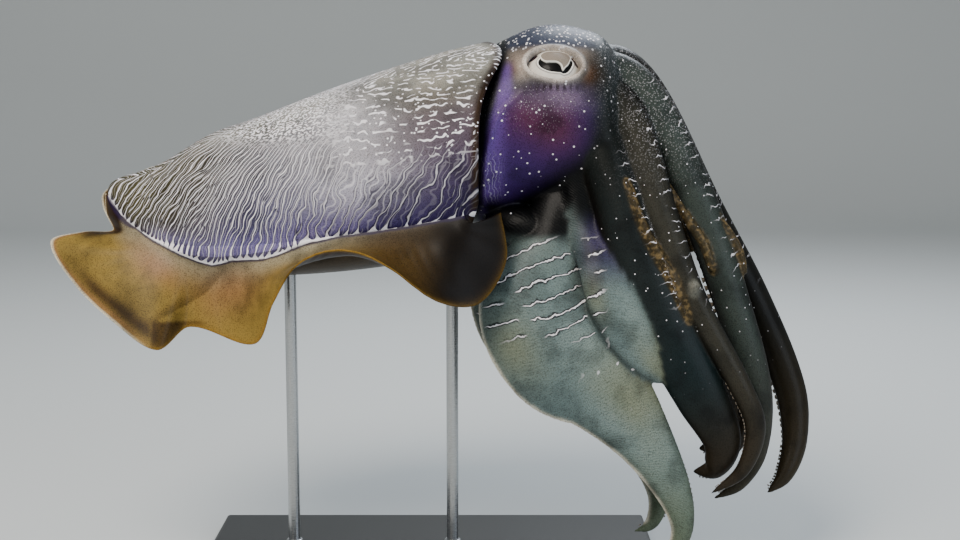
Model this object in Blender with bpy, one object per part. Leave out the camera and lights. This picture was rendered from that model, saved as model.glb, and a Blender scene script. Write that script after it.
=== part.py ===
"""Giant Australian cuttlefish, adult male, life size, swimming with its arms hanging.

The animal is laid out in millimetres as (along, out, up): along runs from tail to arms, out runs
to its right side, and up is measured from the middle of its height. It then leans to its right
by SWIM_LEAN and is held over a flat base by two rods. The origin is the middle of the base's
underside.
"""

import math

import bmesh
import bpy
import numpy as np
from mathutils.bvhtree import BVHTree

MM = 0.001
SWIM_HEIGHT = 305.0  # middle of the animal above the table
SWIM_LEAN = math.radians(8)
GAP = 0.3  # between pieces that touch

# Mantle: half width of the body sac, its depth against its width, and how far it rolls.
MANTLE_HALF_WIDTH = 118.0
MANTLE_DEPTH_RATIO = 0.80
MANTLE_BLUNTNESS = 0.62
MANTLE_ROLL = math.radians(30)
MANTLE_TAIL = -322.0
MANTLE_FRONT = 42.0
MANTLE_SPINE = ((-322, 80), (-291, 65), (-255, 59), (-196, 69), (-91, 91.5), (26, 115), (42, 119))
# Rises of the back: share of the length, height and spread.
MANTLE_RISES = ((0.27, 8.0, 0.11), (1.0, 12.0, 0.25))
COLLAR_LEAD = 26.0  # how far the back edge of the collar stands forward
COLLAR_LEAD_START = 0.55  # share of the length where that lead begins
COLLAR_LEAD_LEAST = 0.12  # the lead at the side, against the back
COLLAR_LEAD_POWER = 8  # how narrowly the lead gathers on the back
COLLAR_LIP = 7.0
COLLAR_LIP_STEPS = (0.35, 0.7, 1.0)
MANTLE_RINGS = 18
MANTLE_SIDES = 28
MANTLE_FIRST_RING = 0.05
MANTLE_RING_CROWDING = 1.45  # packs rings toward the tail

# Fins: they grow from FIN_LINE below the widest line of the mantle. Each hem row gives the place
# along the mantle from tail to collar, and the hem's point there.
FIN_LINE = math.radians(10)
FIN_ROOT_DEPTH = 7.0  # how far the root is sunk before it is cut to the mantle
FIN_ROOT_THICKNESS = 5.0
FIN_HEM_THICKNESS = 1.4
FIN_ARCH = 0.42  # how far a fin bends outward, against its reach
FIN_END = 0.008  # share of the mantle that a fin leaves free at each end
FIN_ROWS = 4
NEAR_HEM = (
    (0.010, -315, 12, 58),
    (0.035, -369, 34, 28),
    (0.070, -341, 54, -13),
    (0.125, -300, 72, -48),
    (0.200, -255, 84, -75),
    (0.260, -229, 58, -54),
    (0.360, -162, 92, -69),
    (0.420, -141, 116, -30),
    (0.500, -113, 140, 7),
    (0.620, -72, 150, 18),
    (0.720, -33, 148, 3),
    (0.820, 10, 132, -28),
    (0.920, 48, 112, -31),
    (0.965, 74, 88, 8),
    (0.990, 69, 82, 55),
)
FAR_HEM = (
    (0.010, -319, -6, 44),
    (0.030, -330, -14, 64),
    (0.060, -332, -26, 79),
    (0.110, -311, -48, 96),
    (0.180, -281, -74, 111),
    (0.300, -225, -118, 113),
    (0.450, -148, -150, 88),
    (0.600, -94, -160, 77),
    (0.750, -33, -165, 72),
    (0.900, 28, -160, 77),
    (0.970, 63, -135, 104),
    (0.990, 61, -110, 129),
)
FIN_STATIONS = 33
FIN_LENGTHS = {"rear": (0, 11), "middle": (11, 20), "front": (20, 32)}

# Head: rows of along, up, half width and half height, from the neck to the crown of arms.
HEAD_ROLL = math.radians(8)
HEAD_ROWS = (
    (34, 124, 78, 76),
    (55, 132, 84, 86),
    (80, 144, 84, 88),
    (105, 151, 82, 91),
    (130, 153, 80, 91),
    (155, 150, 76, 89),
    (174, 146, 70, 84),
    (188, 143, 50, 62),
)
HEAD_RINGS = 14
HEAD_SIDES = 24
HEAD_RING_CROWDING = 1.25  # packs rings toward the arms

# Eyes
EYE = (117, 56, 180)
EYE_RADIUS = 29.0
EYE_AXIS = (0.10, 0.86, 0.50)
EYE_RINGS = 9
EYE_SIDES = 16
EYE_CAP = 10  # degrees left open to a flat cap at each pole
BROW_RISE = 8.0
BROW_SPREAD = 34.0
LID_LONG = 27.0
LID_SHORT = 17.0
LID_LIFT = 24.0  # how far the lids lie in front of the ball's centre
LID_THICKNESS = 5.5
LID_TURNS = 14
LID_SIDES = 6
SLIT_LONG = 24.0
SLIT_SHORT = 14.0
SLIT_DEPTHS = ((8.0, 1.0), (60.0, 1.5))  # distance from the eye's centre, and flare

# Funnel: the jet tube under the head
FUNNEL_ROUTE = ((66, 16, 47), (93, 30, 40), (130, 36, 31))
FUNNEL_RADII = (26, 22, 15)
FUNNEL_MOUTH = 9.0
FUNNEL_BORE_DEPTH = 14.0
FUNNEL_BORE_TAPER = 0.8
FUNNEL_RINGS = 5
FUNNEL_SIDES = 14

# Arms: each row is a point on the arm's middle line, its half width and its half thickness.
ARM_LENGTHS = ("base", "middle", "tip")
ARM_RINGS = 7
ARM_SIDES = 9
ARM_END = 2e-3  # share of an arm left off at each end
ARM_ROUTES = {
    "right_1": (
        (148, 18, 192, 17, 16), (184, 21, 194, 21, 18), (216, 27, 163, 21, 18), (262, 35, 66, 20, 17),
        (295, 36, -29, 18, 15), (322, 26, -118, 15, 13), (324, 12, -179, 11, 10),
        (308, 2, -214, 7, 6), (283, -4, -230, 3, 2.5),
    ),
    "left_1": (
        (152, -12, 206, 18, 17), (189, -14, 206, 21, 19), (223, -20, 170, 21, 18), (279, -31, 66, 18, 16),
        (331, -36, -31, 17, 15), (367, -34, -121, 16, 13), (370, -26, -173, 13, 10),
        (357, -16, -208, 9, 7), (338, -8, -225, 4, 3),
    ),
    "right_2": (
        (140, 38, 168, 16, 15), (171, 38, 172, 18, 17), (197, 48, 138, 19, 17), (223, 64, 48, 18, 15),
        (253, 76, -28, 13, 12), (298, 76, -112, 11, 10), (313, 68, -151, 10, 9),
        (302, 60, -192, 7, 6), (272, 54, -216, 3, 2.5),
    ),
    "right_3": (
        (134, 46, 132, 17, 16), (158, 50, 134, 21, 18), (177, 58, 86, 24, 18), (197, 66, 24, 27, 17),
        (221, 72, -43, 29, 15), (260, 68, -119, 25, 13), (283, 56, -164, 19, 11),
        (277, 44, -192, 12, 8), (257, 36, -197, 5, 3),
    ),
    "right_4": (
        (140, 24, 92, 34, 20), (134, 42, 24, 48, 18), (115, 60, -31, 66, 16), (138, 72, -72, 66, 13),
        (170, 76, -112, 46, 11), (207, 72, -162, 28, 9), (236, 64, -213, 17, 8),
        (245, 56, -248, 11, 6), (236, 46, -274, 7, 5), (216, 38, -281, 3, 2.5),
    ),
}
# The left arms that the right ones hide follow them on the far side: moved along, out and up.
LEFT_ARM_MOVES = {"left_2": (14, 0.95, 10), "left_3": (16, 0.95, 14), "left_4": (-9, 1.08, 12)}

# Suckers: two staggered rows on the side of each arm that faces the mouth, by length of arm as
# how many, and the shares of the length where the first and the last sit.
SUCKERS = {"base": (5, 0.42, 0.93), "middle": (8, 0.07, 0.93), "tip": (8, 0.07, 0.95)}
SUCKER_RADIUS_RATIO = 0.27  # against the arm's half thickness
SUCKER_LEAST_RADIUS = 1.3
SUCKER_ROW_ANGLE = math.radians(27)
SUCKER_SIDES = 6
# Each ring of a sucker's cup, from its sunk root to its floor, as height and radius in radii.
SUCKER_PROFILE = ((-1.1, 0.7), (0.55, 1.0), (0.65, 0.62), (0.2, 0.5))

# Stand
BASE_SIZE = (460.0, 250.0, 14.0)
BASE_EDGE = 3.0
ROD_RADIUS = 6.0
ROD_REACH = 60.0  # how far a rod runs above the animal's middle before it is cut
ROD_PLACES = {"stand_rod_rear": -140.0, "stand_rod_front": 22.0}
ROD_SIDES = 16

for thing in list(bpy.data.objects):
    bpy.data.objects.remove(thing, do_unlink=True)


def placed(points):
    """World points in metres of the animal's (along, out, up) points in millimetres."""
    points = np.asarray(points, float)
    lean_sin, lean_cos = math.sin(SWIM_LEAN), math.cos(SWIM_LEAN)
    along, out, up = points[..., 0], points[..., 1], points[..., 2]
    depth = up * lean_sin - out * lean_cos
    height = SWIM_HEIGHT + up * lean_cos + out * lean_sin
    return np.stack([along, depth, height], axis=-1) * MM


def unit(vectors):
    vectors = np.asarray(vectors, float)
    return vectors / np.linalg.norm(vectors, axis=-1, keepdims=True)


def smooth(knots, values, at):
    """A smooth curve through values given at knots, read at the places in at."""
    knots = np.asarray(knots, float)
    values = np.asarray(values, float)
    at = np.clip(np.asarray(at, float), knots[0], knots[-1])
    slopes = np.empty_like(values)
    slopes[0] = (values[1] - values[0]) / (knots[1] - knots[0])
    slopes[-1] = (values[-1] - values[-2]) / (knots[-1] - knots[-2])
    slopes[1:-1] = (values[2:] - values[:-2]) / (knots[2:] - knots[:-2])[:, None]
    cell = np.clip(np.searchsorted(knots, at, side="right") - 1, 0, len(knots) - 2)
    width = (knots[cell + 1] - knots[cell])[:, None]
    part = (at - knots[cell])[:, None] / width
    return (
        (2 * part**3 - 3 * part**2 + 1) * values[cell]
        + (part**3 - 2 * part**2 + part) * width * slopes[cell]
        + (3 * part**2 - 2 * part**3) * values[cell + 1]
        + (part**3 - part**2) * width * slopes[cell + 1]
    )


def chord_knots(points):
    """Share of the whole length at which a route passes each of its points."""
    steps = np.linalg.norm(np.diff(np.asarray(points, float), axis=0), axis=1)
    return np.concatenate([[0.0], np.cumsum(steps)]) / steps.sum()


def material(name, colour, roughness, metallic=0.0):
    made = bpy.data.materials.new(name)
    made.use_nodes = True
    shader = made.node_tree.nodes["Principled BSDF"]
    shader.inputs["Base Color"].default_value = (*colour, 1.0)
    shader.inputs["Roughness"].default_value = roughness
    shader.inputs["Metallic"].default_value = metallic
    return made


def solid(name, points, faces, finish):
    """One named node from world points in metres."""
    mesh = bpy.data.meshes.new(name)
    mesh.from_pydata([tuple(point) for point in points], [], [tuple(face) for face in faces])
    form = bmesh.new()
    form.from_mesh(mesh)
    bmesh.ops.triangulate(form, faces=[face for face in form.faces if len(face.verts) > 4])
    bmesh.ops.recalc_face_normals(form, faces=form.faces)
    form.to_mesh(mesh)
    form.free()
    mesh.shade_smooth()
    mesh.materials.append(finish)
    made = bpy.data.objects.new(name, mesh)
    bpy.context.scene.collection.objects.link(made)
    return made


def loft(rings):
    """Points and faces of a closed skin over rings, with a point in the middle of each end."""
    count, sides = rings.shape[:2]
    points = np.concatenate([rings.reshape(-1, 3), [rings[0].mean(0), rings[-1].mean(0)]])
    faces = []
    for ring in range(count - 1):
        for side in range(sides):
            after = (side + 1) % sides
            low, high = ring * sides, (ring + 1) * sides
            faces.append((low + side, low + after, high + after, high + side))
    last = (count - 1) * sides
    for side in range(sides):
        after = (side + 1) % sides
        faces.append((after, side, count * sides))
        faces.append((last + side, last + after, count * sides + 1))
    return points, faces


def slab(top, bottom):
    """Points and triangles of a thin curved sheet, cut alike on both faces."""
    rows, columns = top.shape[:2]
    points = np.concatenate([top.reshape(-1, 3), bottom.reshape(-1, 3)])
    under = rows * columns
    faces = []
    for row in range(rows - 1):
        for column in range(columns - 1):
            a = row * columns + column
            b, c, d = a + 1, a + columns + 1, a + columns
            faces += [(a, b, c), (a, c, d)]
            faces += [(under + c, under + b, under + a), (under + d, under + c, under + a)]
    rim = [column for column in range(columns)]
    rim += [row * columns + columns - 1 for row in range(1, rows)]
    rim += [(rows - 1) * columns + column for column in range(columns - 2, -1, -1)]
    rim += [row * columns for row in range(rows - 2, 0, -1)]
    for here, after in zip(rim, rim[1:] + rim[:1]):
        faces += [(here, under + here, after), (after, under + here, under + after)]
    return points, faces


def boolean(target, tool, operation, solver="EXACT"):
    """Applies one Boolean of target with tool, and keeps the largest closed surface."""
    change = target.modifiers.new("fit", "BOOLEAN")
    change.operation = operation
    change.solver = solver
    if isinstance(tool, bpy.types.Collection):
        change.operand_type = "COLLECTION"
        change.collection = tool
    else:
        change.object = tool
    bpy.context.view_layer.update()
    graph = bpy.context.evaluated_depsgraph_get()
    made = bpy.data.meshes.new_from_object(target.evaluated_get(graph))
    target.modifiers.clear()
    before = target.data
    target.data = made
    bpy.data.meshes.remove(before)
    keep_largest(made)


def keep_largest(mesh):
    """Keeps the largest closed surface: faces belong together where only two meet at an edge."""
    form = bmesh.new()
    form.from_mesh(mesh)
    bmesh.ops.triangulate(form, faces=form.faces)
    waiting = set(form.faces)
    groups = []
    while waiting:
        group, front = [], [waiting.pop()]
        while front:
            face = front.pop()
            group.append(face)
            for edge in face.edges:
                for other in edge.link_faces if len(edge.link_faces) == 2 else ():
                    if other in waiting:
                        waiting.remove(other)
                        front.append(other)
        groups.append(group)
    groups.sort(key=len)
    for group in groups[:-1]:
        bmesh.ops.delete(form, geom=group, context="FACES")
    form.to_mesh(mesh)
    form.free()


def swollen(source, by=GAP * 1.2):
    """A hidden copy of a node, grown by the gap that touching nodes keep."""
    mesh = source.data.copy()
    form = bmesh.new()
    form.from_mesh(mesh)
    form.normal_update()
    moves = [point.normal * by * MM for point in form.verts]
    for point, move in zip(form.verts, moves):
        point.co += move
    form.to_mesh(mesh)
    form.free()
    made = bpy.data.objects.new(source.name + "_fit", mesh)
    made.hide_render = True
    made.display_type = "WIRE"
    bpy.context.scene.collection.objects.link(made)
    return made


def tree_of(mesh):
    return BVHTree.FromPolygons(
        [point.co.copy() for point in mesh.vertices],
        [tuple(face.vertices) for face in mesh.polygons],
    )


def fit_nodes(nodes, parted):
    """Cuts each node clear of those before it in the list. Pairs in parted already keep their gap."""
    grown = []
    for node in nodes:
        for earlier, cutter in grown:
            if (earlier.name, node.name) in parted:
                continue
            if tree_of(node.data).overlap(tree_of(cutter.data)):
                # The exact solver loses fins at the collar and arms in the crowded crown.
                solver = "MANIFOLD" if node.name.startswith(("fin_", "arm_")) else "EXACT"
                boolean(node, cutter, "DIFFERENCE", solver)
        grown.append((node, swollen(node)))
    for _, cutter in grown:
        bpy.data.objects.remove(cutter, do_unlink=True)


def rolled(roll):
    """Directions to the animal's right and to its back for a body rolled to its right."""
    right = np.array([0.0, math.cos(roll), -math.sin(roll)])
    back = np.array([0.0, math.sin(roll), math.cos(roll)])
    return right, back


def mantle_half_width(share):
    return MANTLE_HALF_WIDTH * np.sin(math.pi / 2 * np.asarray(share, float) ** MANTLE_BLUNTNESS)


def mantle_points(share, angle, inset=0.0):
    """Points of the mantle's surface at a share of its length and an angle from its right side."""
    share, angle = np.broadcast_arrays(np.asarray(share, float), np.asarray(angle, float))
    right, back = rolled(MANTLE_ROLL)
    along = MANTLE_TAIL + (MANTLE_FRONT - MANTLE_TAIL) * share
    spine = np.asarray(MANTLE_SPINE, float)
    up = smooth(spine[:, 0], spine[:, 1:], along.ravel())[:, 0].reshape(along.shape)
    width = mantle_half_width(share) - inset
    across = np.cos(angle) * width
    over = np.sin(angle) * width * MANTLE_DEPTH_RATIO
    for place, rise, spread in MANTLE_RISES:
        over += np.clip(np.sin(angle), 0, 1) * rise * np.exp(-(((share - place) / spread) ** 2))
    forward = np.clip((share - COLLAR_LEAD_START) / (1 - COLLAR_LEAD_START), 0, 1) ** 2
    height = np.sin(angle)
    gathered = np.where(height > 0, np.abs(height) ** COLLAR_LEAD_POWER, height)
    upward = COLLAR_LEAD_LEAST + (1 - COLLAR_LEAD_LEAST) * gathered
    lead = COLLAR_LEAD * forward * upward
    centre = np.stack([along + lead, np.zeros_like(along), up], axis=-1)
    return centre + across[..., None] * right + over[..., None] * back


def make_mantle(finish):
    shares = np.linspace(MANTLE_FIRST_RING, 1, MANTLE_RINGS) ** MANTLE_RING_CROWDING
    angles = np.arange(MANTLE_SIDES) * 2 * math.pi / MANTLE_SIDES
    rings = [mantle_points(share, angles) for share in shares]
    for turn in COLLAR_LIP_STEPS:
        lip = mantle_points(1.0, angles, COLLAR_LIP * (1 - math.cos(turn * math.pi / 2)))
        rings.append(lip + np.array([COLLAR_LIP * math.sin(turn * math.pi / 2), 0, 0]))
    return solid("mantle", *loft(placed(np.array(rings))), finish)


def fin_faces(hem, side):
    """Both faces of a whole fin, as rows from tail to collar that run from its root to its hem."""
    hem = np.asarray(hem, float)
    rows = smooth(chord_knots(hem[:, 1:]), hem, np.linspace(0, 1, FIN_STATIONS))
    angle = -FIN_LINE if side == "right" else math.pi + FIN_LINE
    share = np.clip(rows[:, 0], FIN_END, 1 - FIN_END)
    root, edge = mantle_points(share, angle), rows[:, 1:]
    right, _ = rolled(MANTLE_ROLL)
    outward = right if side == "right" else -right
    reach = np.linalg.norm(edge - root, axis=1, keepdims=True)
    bend = root + outward * FIN_ARCH * reach
    columns = [mantle_points(share, angle, FIN_ROOT_DEPTH)]
    for part in np.linspace(0, 1, FIN_ROWS + 1):
        columns.append((1 - part) ** 2 * root + 2 * part * (1 - part) * bend + part**2 * edge)
    grid = np.stack(columns, axis=1)
    normal = unit(np.cross(np.gradient(grid, axis=0), np.gradient(grid, axis=1)))
    thickness = np.linspace(FIN_ROOT_THICKNESS, FIN_HEM_THICKNESS, grid.shape[1])[None, :, None]
    return grid + normal * thickness / 2, grid - normal * thickness / 2


def make_fin(hem, side, length, finish):
    """One length of a fin, cut from the whole one with the gap that touching nodes keep."""
    start, end = FIN_LENGTHS[length]
    faces = []
    for face in fin_faces(hem, side):
        piece = face[start : end + 1].copy()
        if start > 0:
            piece[0] += unit(face[start + 1] - face[start]) * GAP
        if end < FIN_STATIONS - 1:
            piece[-1] += unit(face[end - 1] - face[end]) * GAP
        faces.append(placed(piece))
    return solid(f"fin_{side}_{length}", *slab(*faces), finish)


def mirrored(point):
    """The same place on the other side of the head."""
    right, _ = rolled(HEAD_ROLL)
    centre = np.array([point[0], 0.0, head_row(point[0])[0]])
    point = np.asarray(point, float)
    return point - 2 * right * np.dot(point - centre, right)


def head_row(along):
    rows = np.asarray(HEAD_ROWS, float)
    return smooth(rows[:, 0], rows[:, 1:], [along])[0]


def make_head(finish):
    right, back = rolled(HEAD_ROLL)
    first, last = HEAD_ROWS[0][0], HEAD_ROWS[-1][0]
    angles = np.arange(HEAD_SIDES) * 2 * math.pi / HEAD_SIDES
    brows = [np.array(EYE, float), mirrored(EYE)]
    rings = []
    for share in np.linspace(0, 1, HEAD_RINGS):
        along = first + (last - first) * (1 - (1 - share) ** HEAD_RING_CROWDING)
        up, half_width, half_height = head_row(along)
        centre = np.array([along, 0, up])
        ring = (
            centre
            + np.cos(angles)[:, None] * half_width * right
            + np.sin(angles)[:, None] * half_height * back
        )
        for brow in brows:
            near = np.exp(-((np.linalg.norm(ring - brow, axis=1) / BROW_SPREAD) ** 2))
            ring += unit(ring - centre) * near[:, None] * BROW_RISE
        rings.append(ring)
    return solid("head", *loft(placed(np.array(rings))), finish)


def eye_frame(side):
    """Centre of an eye, the way it faces, its long direction and its short one."""
    centre, facing = np.array(EYE, float), unit(EYE_AXIS)
    if side == "left":
        right, _ = rolled(HEAD_ROLL)
        centre = mirrored(EYE)
        facing = facing - 2 * right * np.dot(facing, right)
    long = unit(np.cross(np.cross(facing, (1.0, 0, 0)), facing)) * -1
    return centre, facing, long, np.cross(facing, long)


def make_eye(side, finish):
    centre, facing, long, short = eye_frame(side)
    angles = np.arange(EYE_SIDES) * 2 * math.pi / EYE_SIDES
    rings = []
    for turn in np.linspace(EYE_CAP, 180 - EYE_CAP, EYE_RINGS):
        radius = EYE_RADIUS * math.sin(math.radians(turn))
        rings.append(
            centre
            + facing * EYE_RADIUS * math.cos(math.radians(turn))
            + np.cos(angles)[:, None] * radius * long
            + np.sin(angles)[:, None] * radius * short
        )
    return solid(f"eye_{side}", *loft(placed(np.array(rings))), finish)


def make_lids(side, finish):
    """The fold of skin round the eye's opening."""
    centre, facing, long, short = eye_frame(side)
    angles = np.arange(LID_TURNS)[:, None] * 2 * math.pi / LID_TURNS
    flat = LID_LONG * np.cos(angles) * long + LID_SHORT * np.sin(angles) * short
    loop = centre + flat + facing * LID_LIFT
    spin = np.arange(LID_SIDES)[:, None] * 2 * math.pi / LID_SIDES
    rings = []
    for number, middle in enumerate(loop):
        ahead = unit(loop[(number + 1) % LID_TURNS] - loop[number - 1])
        across = unit(np.cross(ahead, facing))
        rings.append(middle + LID_THICKNESS * (np.cos(spin) * across + np.sin(spin) * facing))
    points = placed(np.array(rings)).reshape(-1, 3)
    faces = []
    for ring in range(LID_TURNS):
        for number in range(LID_SIDES):
            low, high = ring * LID_SIDES, (ring + 1) % LID_TURNS * LID_SIDES
            after = (number + 1) % LID_SIDES
            faces.append((low + number, low + after, high + after, high + number))
    return solid(f"lids_{side}", points, faces, finish)


def make_slit(side, finish):
    """What is cut away in front of the eye, so that the ball shows between its lids."""
    centre, facing, long, short = eye_frame(side)
    angles = np.arange(EYE_SIDES)[:, None] * 2 * math.pi / EYE_SIDES
    rings = []
    for lift, flare in SLIT_DEPTHS:
        flat = SLIT_LONG * np.cos(angles) * long + SLIT_SHORT * np.sin(angles) * short
        rings.append(centre + facing * lift + flat * flare)
    return solid(f"slit_{side}", *loft(placed(np.array(rings))), finish)


def make_funnel(finish):
    """A tapered tube with an open mouth in front."""
    route = np.asarray(FUNNEL_ROUTE, float)
    knots = chord_knots(route)
    places = np.linspace(0, 1, FUNNEL_RINGS)
    middle = smooth(knots, route, places)
    radii = smooth(knots, np.asarray(FUNNEL_RADII, float)[:, None], places)[:, 0]
    ahead = unit(np.gradient(middle, axis=0))
    stations = [(spot, way, radius) for spot, way, radius in zip(middle, ahead, radii)]
    tip, way = middle[-1], ahead[-1]
    stations.append((tip, way, FUNNEL_MOUTH))
    stations.append((tip - way * FUNNEL_BORE_DEPTH, way, FUNNEL_MOUTH * FUNNEL_BORE_TAPER))
    angles = np.arange(FUNNEL_SIDES)[:, None] * 2 * math.pi / FUNNEL_SIDES
    rings = []
    for spot, way, radius in stations:
        side = unit(np.cross(way, (0, 1.0, 0)))
        rings.append(spot + radius * (np.cos(angles) * side + np.sin(angles) * np.cross(way, side)))
    return solid("funnel", *loft(placed(np.array(rings))), finish)


def arm_rows():
    """Every arm's route with its half widths and half thicknesses."""
    routes = {name: np.asarray(rows, float) for name, rows in ARM_ROUTES.items()}
    for name, (along, out, up) in LEFT_ARM_MOVES.items():
        rows = routes["right" + name[4:]].copy()
        rows[:, 0] += along
        rows[:, 1] *= -out
        rows[:, 2] += up
        routes[name] = rows
    return routes


def arm_frame(rows, places):
    """Middle points of an arm, the ways along, across and through it, and its half sizes."""
    knots = chord_knots(rows[:, :3])
    values = smooth(knots, rows, places)
    step = 1e-3
    ahead = unit(smooth(knots, rows, places + step)[:, :3] - smooth(knots, rows, places - step)[:, :3])
    wide = unit(np.cross(ahead, (0.0, 1.0, 0.0)))
    return values[:, :3], ahead, wide, np.cross(ahead, wide), values[:, 3], values[:, 4]


def arm_rings(rows, places):
    middle, ahead, wide, deep, half_width, half_depth = arm_frame(rows, places)
    angles = (np.arange(ARM_SIDES) + 0.5) * 2 * math.pi / ARM_SIDES
    across = np.cos(angles)[None, :, None] * half_width[:, None, None] * wide[:, None]
    through = np.sin(angles)[None, :, None] * half_depth[:, None, None] * deep[:, None]
    return ahead, middle[:, None] + across + through


def make_suckers(rows, places, hearts, finish):
    """Cups on the face of an arm that looks at the middle of all arms, as a collection."""
    cups = bpy.data.collections.new("suckers")
    bpy.context.scene.collection.children.link(cups)
    frames = arm_frame(rows, places)
    for number, (middle, ahead, wide, deep, half_width, half_depth) in enumerate(zip(*frames)):
        inward = hearts[number] - middle
        inward = unit(inward - ahead * np.dot(inward, ahead))
        tilt = SUCKER_ROW_ANGLE * (1 if number % 2 else -1)
        out = math.cos(tilt) * inward + math.sin(tilt) * np.cross(ahead, inward)
        across, through = np.dot(out, wide), np.dot(out, deep)
        skin = middle + out / math.hypot(across / half_width, through / half_depth)
        normal = unit(wide * across / half_width**2 + deep * through / half_depth**2)
        side = np.cross(normal, ahead)
        radius = max(SUCKER_RADIUS_RATIO * half_depth, SUCKER_LEAST_RADIUS)
        angles = np.arange(SUCKER_SIDES)[:, None] * 2 * math.pi / SUCKER_SIDES
        round_it = np.cos(angles) * ahead + np.sin(angles) * side
        rings = [skin + radius * (lift * normal + reach * round_it) for lift, reach in SUCKER_PROFILE]
        points = placed(np.array(rings)).reshape(-1, 3)
        faces = [tuple(range(SUCKER_SIDES)), tuple(range(len(points) - SUCKER_SIDES, len(points)))]
        for ring in range(len(SUCKER_PROFILE) - 1):
            for one in range(SUCKER_SIDES):
                two = (one + 1) % SUCKER_SIDES
                low, high = ring * SUCKER_SIDES, (ring + 1) * SUCKER_SIDES
                faces.append((low + one, low + two, high + two, high + one))
        cup = solid(f"sucker_{number}", points, faces, finish)
        bpy.context.scene.collection.objects.unlink(cup)
        cups.objects.link(cup)
    return cups


def make_arm(name, rows, finish):
    """The lengths of one arm, each a node."""
    made = []
    count = len(ARM_LENGTHS)
    for number, length in enumerate(ARM_LENGTHS):
        places = np.linspace(number / count, (number + 1) / count, ARM_RINGS)
        ahead, rings = arm_rings(rows, np.clip(places, ARM_END, 1 - ARM_END))
        if number > 0:
            rings[0] += ahead[0] * GAP / 2
        if number < count - 1:
            rings[-1] -= ahead[-1] * GAP / 2
        made.append(solid(f"arm_{name}_{length}", *loft(placed(rings)), finish))
    return made


def room_of(node):
    """The space that a node and its gap take, for testing what comes near it."""
    cutter = swollen(node)
    tree = tree_of(cutter.data)
    bpy.data.objects.remove(cutter, do_unlink=True)
    return tree


def add_suckers(routes, nodes):
    """Fuses each arm's cups to its lengths, leaving out those pressed against another node."""
    rooms = {node.name: room_of(node) for node in nodes}
    count = len(ARM_LENGTHS)
    for name, rows in routes.items():
        for number, length in enumerate(ARM_LENGTHS):
            piece = bpy.data.objects[f"arm_{name}_{length}"]
            many, first, last = SUCKERS[length]
            spots = (number + np.linspace(first, last, many)) / count
            hearts = np.mean([arm_frame(other, spots)[0] for other in routes.values()], axis=0)
            cups = make_suckers(rows, spots, hearts, piece.data.materials[0])
            others = [tree for other, tree in rooms.items() if other != piece.name]
            for cup in list(cups.objects):
                tree = tree_of(cup.data)
                if any(tree.overlap(other) for other in others) or not tree.overlap(rooms[piece.name]):
                    bpy.data.objects.remove(cup, do_unlink=True)
            if cups.objects:
                boolean(piece, cups, "UNION")
                rooms[piece.name] = room_of(piece)
            for cup in list(cups.objects):
                bpy.data.objects.remove(cup, do_unlink=True)
            bpy.data.collections.remove(cups)


def make_base(finish):
    mesh = bpy.data.meshes.new("stand_base")
    form = bmesh.new()
    bmesh.ops.create_cube(form, size=1.0)
    for point in form.verts:
        point.co.x *= BASE_SIZE[0] * MM
        point.co.y *= BASE_SIZE[1] * MM
        point.co.z = (point.co.z + 0.5) * BASE_SIZE[2] * MM
    form.to_mesh(mesh)
    form.free()
    mesh.materials.append(finish)
    made = bpy.data.objects.new("stand_base", mesh)
    bpy.context.scene.collection.objects.link(made)
    edge = made.modifiers.new("edge", "BEVEL")
    edge.width = BASE_EDGE * MM
    edge.segments = 2
    return made


def make_rod(name, along, finish):
    """A rod that runs up into the belly and is cut off where it meets it."""
    angles = np.arange(ROD_SIDES) * 2 * math.pi / ROD_SIDES
    circle = np.stack([np.cos(angles), np.sin(angles), np.zeros(ROD_SIDES)], axis=1) * ROD_RADIUS
    heights = (BASE_SIZE[2] + GAP, SWIM_HEIGHT + ROD_REACH)
    rings = [circle + (along, 0, height) for height in heights]
    return solid(name, *loft(np.array(rings) * MM), finish)


skin_grey = material("mantle_skin", (0.16, 0.14, 0.12), 0.55)
skin_fin = material("fin_skin", (0.24, 0.14, 0.06), 0.5)
skin_head = material("head_skin", (0.10, 0.06, 0.18), 0.5)
skin_arm = material("arm_skin", (0.06, 0.065, 0.06), 0.5)
skin_web = material("ventral_arm_skin", (0.22, 0.27, 0.24), 0.5)
eye_white = material("eye_ball", (0.7, 0.68, 0.6), 0.2)
stand_black = material("stand_base_lacquer", (0.02, 0.02, 0.022), 0.45)
stand_steel = material("stand_rod_steel", (0.6, 0.6, 0.6), 0.3, 1.0)

eyes = [make_eye(side, eye_white) for side in ("right", "left")]
head = make_head(skin_head)
for side in ("right", "left"):
    for make, operation in ((make_lids, "UNION"), (make_slit, "DIFFERENCE")):
        tool = make(side, skin_head)
        boolean(head, tool, operation)
        bpy.data.objects.remove(tool, do_unlink=True)
mantle = make_mantle(skin_grey)
funnel = make_funnel(skin_head)
nodes = eyes + [head, mantle, funnel]
parted = set()
routes = arm_rows()
for name, rows in routes.items():
    lengths = make_arm(name, rows, skin_web if name.endswith("4") else skin_arm)
    parted |= {(one.name, two.name) for one, two in zip(lengths, lengths[1:])}
    nodes += lengths
for side, hem in (("right", NEAR_HEM), ("left", FAR_HEM)):
    lengths = [make_fin(hem, side, length, skin_fin) for length in FIN_LENGTHS]
    parted |= {(one.name, two.name) for one, two in zip(lengths, lengths[1:])}
    nodes += lengths
nodes += [make_rod(name, along, stand_steel) for name, along in ROD_PLACES.items()]
fit_nodes(nodes, parted)
add_suckers(routes, nodes)
make_base(stand_black)
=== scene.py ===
"""Looks of a life-size giant Australian cuttlefish model, held over a flat base by two rods."""

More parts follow.
